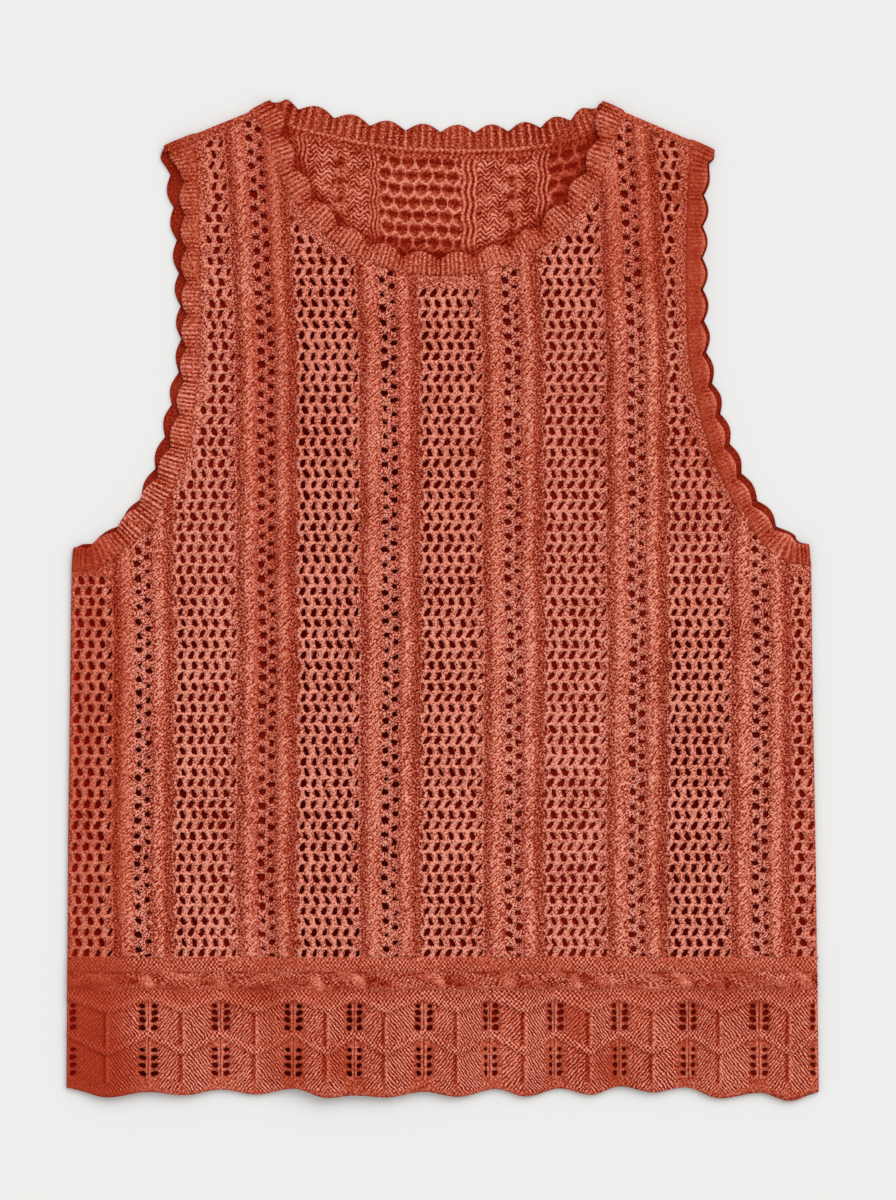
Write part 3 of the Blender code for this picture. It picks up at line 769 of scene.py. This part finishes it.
def hem_spots(lay, seed):
    """The hem as knit_cells takes it, a half leaf being HALF_LEAF quads wide."""
    leaves = np.array(HEM_LEAVES)
    notch_x = np.append(leaves[:, 0], HEM_END[0])
    notch_edge = np.append(leaves[:, 1], HEM_END[1])
    lobe_x, lobe_edge = leaves[:, 2], leaves[:, 3]
    chance = np.random.RandomState(seed)
    jitter = chance.uniform(-1, 1, (2 * len(leaves) + 2, 60, 3))

    def halves(i):
        """Half a leaf, how many quads into it, and whether it rises to the next notch."""
        half = np.minimum(i // HALF_LEAF, 2 * len(leaves) - 1)
        return half, i - half * HALF_LEAF, half % 2 == 1

    def spot(i, j):
        half, step, rising = halves(i)
        leaf = half // 2
        step = np.where(rising, HALF_LEAF - step, step)  # counted from the notch
        notch = leaf + rising
        width = np.abs(notch_x[notch] - lobe_x[leaf])
        up = ease((j - hem_first[LOW_RIDGE]) / 4.0)[:, None]
        off, half_wide = (EYELETS[notch, 2:] * (1 - up) + EYELETS[notch, :2] * up).T
        beyond = off + half_wide + 1.1
        inner = 0.5 * (off - half_wide)
        columns = np.stack((0 * off, inner, off - half_wide, off, off + half_wide, beyond))
        tail = beyond + (width - beyond) * (step - 5) / (HALF_LEAF - 5)
        away = np.where(step < 6, columns[np.minimum(step, 5), np.arange(len(step))], tail)
        share = away / width
        side = np.where(rising, -1.0, 1.0)
        x = notch_x[notch] + side * away
        band = hem_band[j]
        t = (j - hem_first[band]) / band_rows[band]
        low_notch = np.where(band == 0, notch_edge[notch], band_notch[band - 1])
        low_lobe = np.where(band == 0, lobe_edge[leaf], band_lobe[band - 1])
        round_share = (1 - np.cos(math.pi * share)) / 2
        straight = np.clip((band - 0.5) / 1.5, 0, 1)
        sweep = mixed(round_share, share, straight * 0.75)
        level = np.isin(band, (LOW_TIER, HIGH_TIER)) * (1 - ease((away - off) / 8.0))

        def lie(t):
            """How high a row lies: it bends down to the lobe, but stays level at the eyelets."""
            at_notch = mixed(low_notch, band_notch[band], t)
            at_lobe = mixed(low_lobe, band_lobe[band], t)
            return mixed(at_notch, at_lobe, sweep * (1 - level * (1 - t**5) * ease(5 * t)))

        h = lie(t)
        height, light, moss, slant = hem_relief(x, h, i, j, band, t, share, away, width, side)
        for tier, first_row in ((LOW_TIER, 2.8), (HIGH_TIER, 2.0)):
            along = j - hem_first[tier]
            number = along // 4
            ring_x, ring_y = step - 3.0, along % 4 - 2.0
            ring, corner = gap_ring(ring_x, ring_y, 0.72)
            ring = ring & (band == tier) & (along > 0) & (number < 4)
            sway = jitter[half, np.clip(number, 0, 29) + (30 if tier == HIGH_TIER else 0)].T
            corner = corner * np.where(number == 3, 0.8, 1.0)
            middle = lie((4 * number + first_row) / band_rows[tier])
            gap_away = off + 0.15 * sway[0] + corner * (half_wide + 0.15 * sway[1]) * ring_x
            gap_h = middle + corner * (1.7 + 0.15 * sway[2]) * ring_y + 0.4 * (gap_away - off)
            x = np.where(ring, notch_x[notch] + side * gap_away, x)
            h = np.where(ring, gap_h, h)
            height = np.where(ring, 0.95, height)
            light = np.where(ring, 0.56, light)
        x = x + NOTCH_SHIFT[notch] * (1 - share) * ease((h - 6.0) / 8.0) * ease((72.0 - h) / 8.0)
        x = np.clip(x, side_left(h), side_right(h))
        z = lay(x, h, height - 0.9 * ease(1 - from_sides(x, h) / 3.0))
        flow = h + 1.2 * np.sin(x / 5.5 + 0.8 * np.sin(x / 17.0))
        u = np.where(band == CABLE, (x + 1.5 * np.sin(h / 2.5 + x / 9)) / 9.5, (away - width) / 8)
        v = np.where(band == CABLE, flow / 9, h / 10)
        own = 0.12 + 0.08 * np.isin(band, (STEP, CABLE, MOSS))
        return (x, h, z), (u, v, light - 0.02, moss, slant, own)

    def opened(i, j):
        _, step, rising = halves(i)
        step = np.where(rising, HALF_LEAF - 1 - step, step)
        band = hem_band[j + 1]
        along = j - hem_first[band]
        tier = np.isin(band, (LOW_TIER, HIGH_TIER)) & (along // 4 < 4)
        return tier & np.isin(step, (2, 3)) & np.isin(along % 4, (1, 2))

    return 2 * HALF_LEAF * len(HEM_LEAVES), len(hem_band) - 1, spot, opened


CABLE_MIDDLE = 69.3
STROKES = (
    # short dark lines round a knot: off it across and up, slope, half length, how dark
    (6.8, 0.6, 0.28, 2.9, 1),
    (11.5, -1.6, 0.25, 2.2, 0.7),
    (5, 3.2, -0.35, 2.4, 0.8),
    (-9, -0.4, 0.1, 2.6, 0.6),
)


def hem_relief(x, h, i, j, band, t, share, away, width, side):
    """The hem's height over its inner side, and its shares of light, moss and slanted lines."""
    dots = np.where((i + j) % 2, 1.0, -1.0)
    round_up = np.sin(math.pi * t)
    flute = np.where(i % 2, 1.0, -1.0) * round_up
    from_vein = (width - away) * side  # negative on a leaf's right half
    crown = 0.55 * np.sin(math.pi * np.clip(share, 0, 1) ** 0.8) + 0.25 * share
    # the vein: painted light on its ridge and painted shade in the groove beside it
    line = bell((from_vein + 0.2) / 0.9) - 1.1 * bell((from_vein - 1.7) / 0.9)
    strands = bell((away - 0.8) / 0.5)
    # a dark line painted in the groove at a notch, as shade
    between = bell(away / 0.4)
    # painted shade just under each ridge
    under = bell((1 - t) * 20 / 1.5)
    swell = (crown + 0.5 * line) * (0.4 + 0.6 * round_up**0.5) - 0.1 * under
    leaning = 1.1 * ease((away - 5.0) / 2.0) * ease((np.abs(from_vein - 0.6) - 0.4) / 2.0)
    leaning = leaning * np.where(side > 0, 0.7, 1.0)
    leaf = (
        1.35 + swell + 0.4 * strands - 0.2 * between,
        0.53 + 0.32 * line + 0.28 * strands - 0.3 * between - 0.12 * under,
        0.6 * bell(from_vein / 1.4),
        leaning,
    )
    rise = np.sin(math.pi * np.clip(t, 0.12, 0.88))
    ridge = (1.6 + rise + 0.1 * dots, 0.44 + 0.2 * rise, 1.2, 0.0)
    knot, stroke = np.zeros(len(x)), np.zeros(len(x))
    for n, place in enumerate(KNOTS):
        middle = CABLE_MIDDLE + 0.9 * math.cos(2.0 * n)
        size = 1 + 0.25 * math.sin(3.0 * n)
        bent = (x - place) + 0.45 * (h - middle) + 0.09 * (h - middle) ** 2
        r = np.hypot(bent / (3.3 * size), (h - middle) / (5.0 * size))
        knot = np.maximum(knot, ease((1.35 - r) / 0.8))
        rim = np.exp(-(((bent / size - 4.4) / 0.9) ** 2) - ((h - middle) / 3.4) ** 2)
        stroke = np.maximum(stroke, 0.8 * rim)
        for off, level, slope, long, dark in STROKES:
            far = x - place - off * size
            thin = (h - middle - level - slope * far) / 0.75
            stroke = np.maximum(stroke, dark * np.exp(-((far / long) ** 2) - thin**2))
    dashes = bell((h - 75.0) / 0.7) * (0.5 + 0.5 * np.sin(x / 3.7 + 2.0 * np.sin(x / 11.0)))
    swirl = np.sin(x / 5.3 + 1.5 * np.sin(h / 3.0)) * np.sin(h / 2.4 + x / 15.0)
    cable = (
        1.5 + 0.75 * round_up**0.6 + 0.1 * knot - 0.35 * stroke,
        0.51 + 0.14 * swirl + 0.2 * knot - 0.6 * stroke - 0.3 * dashes,
        0.9 * ((1 - knot) * np.clip(0.6 + 0.8 * np.sin(x / 7.3 + 0.6 * h), 0, 1)),
        -0.3 - 0.2 * (1 - knot),
    )
    patchy = 0.75 + 0.35 * np.sin(x / 17.0) * np.sin(h / 3.0 + x / 9.0)
    looks = {
        EDGE_ROLL: (np.array((0.75, 1.25, 1.4))[np.minimum(j, 2)], 0.55, 0.0, 0.2),
        FAN: (1.35 + 0.06 * flute, 0.52 + 0.08 * flute, 0.35, leaning),
        LOW_TIER: leaf,
        LOW_RIDGE: ridge,
        HIGH_TIER: leaf,
        HIGH_RIDGE: ridge,
        STEP: (1.5 + 0.05 * dots, 0.5, 1.2, 0.0),
        CABLE: cable,
        MOSS: (1.5 + 0.45 * round_up + 0.08 * dots, 0.54 - 0.12 * (t < 0.1), patchy, 0.0),
        JOIN: (0.8, 0.55, 0.0, 0.2),
    }
    return [np.choose(band, values) for values in zip(*looks.values())]


hem_yarn = knit_material("hem_yarn", contrast=0.68, moss_size=0.285, fluff=2.4)
hem = [hem_spots(on_front, 11)]
front_hem = knit_piece("front_hem", "front_panel", hem_yarn, hem, front_outline, wall=0.9)
HEM_FLAT = (0.439, 0.084)


# ---------------------------------------------------------------- scalloped rib bands
# A narrow rib band is sewn round the neck and round each armhole. Its ribs run from the seam to a
# scalloped free edge. It folds over at the shoulders, and at the underarms, onto the back's level.

FOLD_FAN = 22.0  # how far from a fold the ribs start to fan out
SCALLOP_FADE = 7.0  # and the scallops to flatten
FOLD_STEPS = 8
LINE_STEPS = 12
RIB_STEPS = 6
NEAR_FOLD = 31  # stations within which a fold lifts the band off the table


def band_half(rows, folds, width_at, lobes, ribs, spread, phase, turn, scallop, strength):
    """Half a band as arrays over its stations: seam points, reach to the free edge, rib wave, lobe.
    The free edge has that many lobes, ribs in each lobe, and starts at a phase of one. Above 1,
    spread crowds the lobes at the start. turn is 1 where the free edge is to the left of the seam's
    direction. strength says how much the ribs stand out at evenly spaced places."""
    line = smooth_line(rows, LINE_STEPS)
    lengths = np.append(0, np.cumsum(np.linalg.norm(np.diff(line, axis=0), axis=1)))
    total = lengths[-1]
    straight = normals(line) * turn * width_at(lengths / total)[:, None]
    at_start = ease(1 - lengths / FOLD_FAN)[:, None]
    at_end = ease(1 - (total - lengths) / FOLD_FAN)[:, None]
    to_start, to_end = np.array(folds[0]) - line[0], np.array(folds[1]) - line[-1]
    reach = straight * (1 - at_start - at_end) + to_start * at_start + to_end * at_end
    free = np.append(0, np.cumsum(np.linalg.norm(np.diff(line + reach, axis=0), axis=1)))
    count = round(lobes * ribs) * RIB_STEPS
    share = np.arange(count + 1) / count
    at = free[-1] * share**spread
    seam = np.stack([np.interp(at, free, line[:, k]) for k in (0, 1)], axis=1)
    out = np.stack([np.interp(at, free, reach[:, k]) for k in (0, 1)], axis=1)
    lobe = np.abs(np.sin(math.pi * (lobes * share + phase)))
    fade = ease(np.minimum(at, free[-1] - at) / SCALLOP_FADE)
    length = np.linalg.norm(out, axis=1)
    out = out * (1 + fade * scallop * (lobe - 2 / math.pi) / length)[:, None]
    number = np.arange(count + 1) / RIB_STEPS
    chance = np.random.RandomState(int(lobes * ribs))
    uneven = np.interp(number, np.arange(len(number)), chance.uniform(0.55, 1.15, len(number)))
    wave = np.cos(2 * math.pi * (number + 0.12 * np.sin(number * 1.7))) * uneven
    wave = wave * np.interp(share, np.linspace(0, 1, len(strength)), strength)
    return seam, out, wave, lobe * fade


BAND_SECTION = np.array((
    # share of the width, height over the inner side, share of the ribs' height
    (0, 0.85, 0.1),
    (0.07, 1.35, 0.5),
    (0.2, 1.7, 1),
    (0.38, 1.75, 1),
    (0.56, 1.8, 1),
    (0.74, 1.75, 1),
    (0.9, 1.55, 0.9),
    (0.98, 1.2, 0.6),
    (1, 0.8, 0.3),
))
RIB_HEIGHT = 0.24
EVERYWHERE = np.array(((-400, -400), (400, -400), (400, 900), (-400, 900)))  # no edge cuts it


def band_piece(name, material, front, back, node, turned_over, back_half_shade, edge_line):
    """Knits a whole band: front half, fold, back half, fold. back_half_shade is how much darker and
    deeper the back half is painted, as painted shade. edge_line is how light the front's free edge
    is, and makes the whole front half a little deeper."""
    front_seam, front_out = front[:2]
    inner = math.pi * np.arange(1, FOLD_STEPS) / FOLD_STEPS
    none, same = 0 * inner, np.ones((len(inner), 1))
    end_way = same * (front_seam[-1] - front_seam[-2])
    start_way = same * (front_seam[0] - front_seam[1])
    parts = (
        # seam, reach, rib wave, lobe, angle turned over, the way that a fold bulges
        (*front, np.zeros(len(front_seam)), 0 * front_seam),
        (same * front_seam[-1], same * front_out[-1], none, none, inner, end_way),
        (*back, np.full(len(back[0]), math.pi), 0 * back[0]),
        (same * front_seam[0], same * front_out[0], none, none, inner[::-1], start_way),
    )
    seam, out, wave, lobe, turn, way = (np.concatenate(column) for column in zip(*parts))
    width = np.linalg.norm(out, axis=1)
    along = out / width[:, None]
    side = np.stack((-out[:, 1], out[:, 0]), axis=1) / width[:, None]
    side = side * np.sign((side * way).sum(axis=1))[:, None]
    top = front_under(seam[:, 0], seam[:, 1])
    middle, radius = (top + WALL) / 2, (top - WALL) / 2
    count = len(seam)
    near_fold = np.minimum(np.convolve(way.any(axis=1), np.ones(NEAR_FOLD), "same"), 1)
    run = np.append(0, np.cumsum(np.linalg.norm(np.diff(seam + out * 0.6, axis=0), axis=1) + 0.01))

    def spot(i, j):
        n = i % count
        share, height, ribbed = BAND_SECTION[j].T
        height = height + RIB_HEIGHT * wave[n] * ribbed + 0.25 * lobe[n] * np.sin(math.pi * share)
        behind = (1 - np.cos(turn[n])) / 2
        height = height + behind * (0.85 - 0.7 * height)
        sideways = np.sin(turn[n]) * (radius[n] + height)
        flat = along[n] * (share * width[n])[:, None] + side[n] * sideways[:, None]
        x, h = (seam[n] + flat).T
        lift = 0.9 * near_fold[n] * ease((share - 0.3) / 0.3)
        z = np.maximum(middle[n] + np.cos(turn[n]) * (radius[n] + height), 0.03 + lift)
        # painted shade in the dips between the lobes, towards the free edge
        shade_between_lobes = (1 - lobe[n]) * share
        crest = np.where(wave[n] > 0, wave[n] ** 2, 0.6 * wave[n])
        ribs = mixed(wave[n], crest, behind)
        # the ribs' crests are painted lighter and their hollows darker: painted light and shade
        light = 0.56 + (0.25 + 0.13 * behind) * ribs * ribbed - 0.3 * shade_between_lobes * (1 - 0.5 * behind)
        # painted shade: the back half is painted darker
        light = light - back_half_shade[0] * behind
        light = light + edge_line * (1 - behind) * ease((share - 0.8) / 0.12)
        # painted shade along the seam
        light = light - 0.14 * (1 - behind) * ease((0.16 - share) / 0.1)
        deeper_colour_and_shade = back_half_shade[1] * behind + 6.0 * edge_line**2 * (1 - behind)
        return (x, h, z), (run[n] / 10, share * width[n] / 10, light, 0.1, 0.1, deeper_colour_and_shade)

    cells = [(count, len(BAND_SECTION) - 1, spot, None)]
    piece = knit_piece(
        name, node, material, cells, EVERYWHERE, wall=0.95, closed=True, turned_over=turned_over
    )


NECK_BACK = (
    # x, h where the back's neck band is sewn on
    (-112.5, 576.3),
    (-93, 570.5),
    (-71.5, 565),
    (-46.5, 559.5),
    (-23, 556.3),
    (0, 555.3),
    (20, 555),
    (42, 556),
    (64, 559),
    (86, 565.5),
    (105.5, 576.5),
)
NECK_FOLDS = ((-100.0, 582.9), (92.5, 582.3))
NECK_WIDTH = 13.0
NECK_SCALLOP = 4.6


def neck_width(share):
    """The neck band is as wide all the way round."""
    return np.full(len(share), NECK_WIDTH)


neck_yarn = knit_material("neck_yarn")
front = band_half(
    NECK_FRONT, NECK_FOLDS, neck_width, 14.0, 8, 1.0, 0.0, 1, NECK_SCALLOP, (1, 1)
)
back = band_half(
    NECK_BACK[::-1], NECK_FOLDS[::-1], neck_width, 10.1, 4.5, 1.12, 0.68, -1, NECK_SCALLOP, (1, 1)
)
band_piece(
    "neck_band_rib", neck_yarn, front, back, "neck_band", False, (0.13, 0.1), 0.0
)

ARM_FOLDS = {"left": ((-162.5, 556.0), (-214.0, 323.0)), "right": ((158.5, 553.5), (212.3, 325.0))}
ARM_PHASES = {"left": (0.8, 0.5), "right": (0.6, 0.9)}
FRONT_WIDENING = {"left": (0.55, 0.8), "right": (0.78, 0.98)}
BACK_WIDENING = {"left": (0.82, 1.0), "right": (0.88, 1.0)}
RIBS_SHOW = {
    "left": (0.6, 0.7, 0.6, 0.6, 0.8, 1.0, 1.2, 1.4, 1.5, 1.2, 0.4),
    "right": (1.0, 0.6, 0.4, 0.3, 0.3, 0.35, 0.3, 0.4, 0.5, 0.9, 1.0),
}
EDGE_LINES = {"left": 0.08, "right": 0.25}
ARM_LOBES, RIBS_IN_LOBE, ARM_SCALLOP = 13.5, 8, 3.0


def arm_half(side, on_back, rows, folds, turn, strength):
    """Half an arm band. It widens towards the underarm."""
    start, end = (BACK_WIDENING if on_back else FRONT_WIDENING)[side]
    phase = ARM_PHASES[side][on_back]

    def width(share):
        share = 1 - share if on_back else share
        return 10.6 + 4.4 * ease((share - start) / (end - start))

    return band_half(
        rows, folds, width, ARM_LOBES, RIBS_IN_LOBE, 1.0, phase, turn, ARM_SCALLOP, strength
    )


arm_yarn = knit_material("arm_yarn")
for side, table, turn in (("left", ARM_LEFT, -1), ("right", ARM_RIGHT, 1)):
    folds, name, node = ARM_FOLDS[side], f"arm_band_rib_{side}", f"arm_band_{side}"
    front_rows, back_rows = [row[:2] for row in table], [row[2:] for row in table]
    front = arm_half(side, False, front_rows, folds, turn, RIBS_SHOW[side])
    back = arm_half(side, True, back_rows[::-1], folds[::-1], -turn, (0.2, 0.2))
    edge_line = EDGE_LINES[side]
    band_piece(
        name, arm_yarn, front, back, node, turn < 0, (0.3, 0.5), edge_line
    )


# ---------------------------------------------------------------- shoulder seams
# The front and the back are linked along each shoulder, and the seam rolls over the edge.

SHOULDER_ROLL = np.array((
    # distance past the shoulder line, z
    (-4, 2.9),
    (-2.6, 3.55),
    (-1.2, 3.6),
    (0.1, 3.1),
    (0.8, 2),
    (0.4, 0.8),
    (-0.8, 0.15),
    (-2.6, 0.1),
    (-4, 0.5),
))

SHOULDER_STEPS = 30


def seam_spots(line):
    """A shoulder seam as knit_cells takes it."""
    along = line[1] - line[0]
    past = np.array((-along[1], along[0])) / np.linalg.norm(along)

    def spot(i, j):
        off, z = SHOULDER_ROLL[j].T
        x, h = (line[0] + along * (i / SHOULDER_STEPS)[:, None] + past * off[:, None]).T
        wave = np.where(i % 2, 1.0, -1.0)
        return (x, h, z + 0.08 * wave), (i / 10, off / 10, 0.5 + 0.1 * wave, 0.3, 0.2, 0.0)

    return SHOULDER_STEPS, len(SHOULDER_ROLL) - 1, spot, None


shoulder_yarn = knit_material("shoulder_yarn")
seams = [seam_spots(line) for line in SHOULDERS]
shoulder_seams = knit_piece(
    "shoulder_seams", "front_panel", shoulder_yarn, seams, EVERYWHERE, wall=0.6
)


# ---------------------------------------------------------------- back panel
# The back is knitted in the same stripes, groups and hem as the front, and lies flat on the table.
# Its gaps close up as dents against its inner side, painted dark as shade, and the inner side is
# painted dark as the shade inside the top.

back_seams, back_outline = panel_cut(NECK_BACK, 2, TUCK)
back_borders = borders(back_seams)


def on_back(x, h, height):
    """Where the outer side of the back's knitting lies: the tallest ribs rest on the table."""
    thin = tucked_under(x, h, height, back_borders)
    return np.clip(0.02 + 0.55 * (2.35 - thin), 0.02, None)


GAP_DENT = 0.55
back_yarn = knit_material("back_yarn")
nets = [net_spots(stripe, on_back, 140, back_seams) for stripe in range(len(NET_COLUMNS))]
groups = [group_spots(group, on_back, 170) for group in range(len(GROUP_CENTRES))]
for name, parts, flat_size, area in (
    ("back_lace", nets, PANEL_FLAT, 0.097),
    ("back_ribs", groups, PANEL_FLAT, 0.091),
    ("back_hem", [hem_spots(on_back, 111)], HEM_FLAT, None),
):
    piece = knit_piece(
        name, "back_panel", back_yarn, parts, back_outline, dents=GAP_DENT, turned_over=True
    )

hem_line = smooth_line([row[k : k + 2] for row in HEM_LEAVES for k in (0, 2)] + [HEM_END], 4)
INNER_COLUMNS, INNER_ROWS = 146, 196
PANEL_WIDTH, INNER_TOP = 439.0, 588.0


def hem_edge(x):
    """How high the hem's edge lies."""
    return np.interp(x, hem_line[:, 0], hem_line[:, 1])


def inner_spot(i, j):
    """The plain inner side of the back, cut off just short of its seams. Its colour is painted
    shade, painted lighter near the left side.
    """
    x = -PANEL_WIDTH / 2 + PANEL_WIDTH * i / INNER_COLUMNS
    h = hem_edge(x) + 0.3 + (INNER_TOP - hem_edge(x)) * (j / INNER_ROWS)
    x = side_left(h) + (side_right(h) - side_left(h)) * i / INNER_COLUMNS
    edge = np.minimum(from_sides(x, h), h - hem_edge(x))
    z = WALL - 0.65 * ease(1 - edge / 3.0)
    # painted light: the inner side is painted lighter near the left side
    return (x, h, z), (x / 10, h / 10, 0.2 + 0.6 * ease((-188.0 - x) / 16), 0.2, 0.0, 0.0)


# painted shade: the back's inner side is coloured dark red, as the shade inside the top
SHADE_TONES = ((0.0, (0.16, 0.003, 0.001)), (1.0, (0.44, 0.011, 0.003)))
shade_yarn = knit_material("shade_yarn", SHADE_TONES, 0.3)
inner_outline = panel_cut(NECK_BACK, 2, -1.5)[1]
cells = [(INNER_COLUMNS, INNER_ROWS, inner_spot, None)]
back_inside = knit_piece("back_inside", "back_panel", shade_yarn, cells, inner_outline)

# the wrong side of the back, seen through the neck: rib lines, moss, ladders and open loops
INSIDE_RIBS = ((-85.6, -78.0), (-43.6, -36.6), (10.6, 20.6), (53.8, 62.5))
INSIDE_NETS = ((-36.6, 10.6, 6), (62.5, 90.0, 3))
INSIDE_LADDERS = (-60.0, 40.0)
LADDER_TURN = 21.0  # the height in which a ladder's two strands cross and come back
INSIDE_LEFT, INSIDE_RIGHT, INSIDE_LOW = -111.0, 104.0, 474.0
INSIDE_COLUMNS, INSIDE_ROWS = 270, 112
neck_back_line = smooth_line(NECK_BACK, 8)


def inside_relief(x, h, top):
    """The wrong side's height over the plain inner side, its lightness with painted light and shade
    on its ridges and hollows, the share of slanted purl lines, and how much painted shade dims it.
    top is the height of the neckline above each place."""
    patchy = np.sin(x / 3.1 + 1.3 * np.sin(h / 3.7)) * np.sin(h / 2.9 + x / 11.0)
    height = 0.24 + 0.12 * patchy
    light = 0.48 + 0.2 * patchy
    lines = np.ones(len(x))
    for middle in INSIDE_LADDERS:
        swing = 3.0 * np.sin(2 * math.pi * h / LADDER_TURN + middle)
        for side, offset in ((1, 0.0), (-1, 1.6)):
            strand = bell((x - middle - side * swing - offset) / 1.4)
            height = height + 0.4 * strand
            light = light + (0.78 - light) * 0.9 * strand
            lines = lines * (1 - 0.8 * strand)
        turns = 0.5 + 0.5 * np.cos(4 * math.pi * h / LADDER_TURN + 2 * middle)
        # painted shade in the hollows where the ladder's strands turn
        hollow = bell((x - middle) / 2.8) * turns**2
        light = light - light * 0.9 * hollow
        lines = lines * (1 - 0.8 * hollow)
        height = height * (1 - 0.8 * hollow)
    for low, high, columns in INSIDE_NETS:
        row = (h - top + 5.5) / 7.8 + 0.05 * np.sin(x / 5.0)
        line = np.floor(row)
        cell = (x - low) / (high - low) * columns + 0.5 * (line % 2) + 0.12 * np.sin(line * 2.3)
        up, across = row - line, np.abs(cell % 1 - 0.5)
        loop = bell((across - 0.5) / 0.09) * (up > 0.3) * 0.8
        for step, sideways in ((0, across), (1, 0.5 - across)):
            bow = 0.42 * np.abs(2 * sideways) ** 1.6
            loop = np.maximum(loop, bell((up - step - bow) / (0.11 + 0.25 * bow)))
        shadow = bell((up - 0.72) / 0.22) * (1 - loop)
        within = (x > low) & (x < high)
        height = np.where(within, 0.05 + 0.6 * loop, height)
        light = np.where(within, 0.40 + 0.5 * loop - 0.36 * shadow, light)
        lines = np.where(within, 0.0, lines)
    for low, high in INSIDE_RIBS:
        within = ease((x - low) / 1.0) * ease((high - x) / 1.0)
        wavy = 0.65 * np.sin(2 * math.pi * h / 14.5 + low)
        wales = np.cos(2 * math.pi * (x - low + wavy) / ((high - low) / 3) - math.pi)
        height = mixed(height, 0.38 + 0.2 * wales, within)
        light = mixed(light, 0.48 + 0.42 * wales, within)
        lines = lines * (1 - within)
    strip = ease((h - top + 6.5) / 1.5)
    purl = np.sin(2 * math.pi * x / 3.1 + 2.0 * np.sin(h)) * np.sin(2 * math.pi * (top - h) / 3.4)
    height = mixed(height, 0.3 + 0.15 * purl, strip)
    light = mixed(light, 0.44 + 0.36 * purl, strip)
    lines = lines * (1 - strip)
    under = top - h
    # the ridge under the neckline is painted lighter, with a painted shade line below it
    ridge = bell((under - 0.6) / 0.8) - 0.6 * bell((under - 2.4) / 0.7)
    height = height + 0.3 * ridge
    light = light + 0.28 * ridge
    # painted shade at both ends of the opening
    dim = ease((-88.0 - x) / 8.0) + 0.8 * ease((x - 61.0) / 4.0)
    return height * (1 - 0.4 * dim), light * (1 - 0.3 * dim), lines, dim


def neck_inside_spot(i, j):
    """The wrong side in the neck opening: painted shade under the band, with its purl in a zigzag.
    """
    x = INSIDE_LEFT + (INSIDE_RIGHT - INSIDE_LEFT) * i / INSIDE_COLUMNS
    top = np.interp(x, neck_back_line[:, 0], neck_back_line[:, 1])
    h = INSIDE_LOW + (top + 0.6 - INSIDE_LOW) * j / INSIDE_ROWS
    height, light, lines, dim = inside_relief(x, h, top)
    # painted shade on the wrong side near the front band's free edge
    shade_under_band = 1 - ease((distance_to(x, h, (front_seams[1],)) - 13.5) / 6.0)
    light = light * (1 - 0.6 * shade_under_band)
    dim = np.clip(dim + 0.8 * shade_under_band, 0, 1)
    zigzag = 3.7 * np.abs(((x + 0.6 * np.sin(h / 3.0 + x / 8.0)) / 3.7) % 2 - 1)
    pattern = (zigzag / 10, h / 10, light, 0.1, 0.9 * lines, 0.12 + 0.35 * dim)
    return (x, h, 1.64 + height), pattern


inside_yarn = knit_material("inside_yarn", line_size=0.29, fluff=3.2)
neck_opening = np.concatenate((front_seams[1], ((108.0, 600.0), (-115.0, 600.0))))
cells = [(INSIDE_COLUMNS, INSIDE_ROWS, neck_inside_spot, None)]
neck_inside = knit_piece("back_neck_inside", "back_panel", inside_yarn, cells, neck_opening)
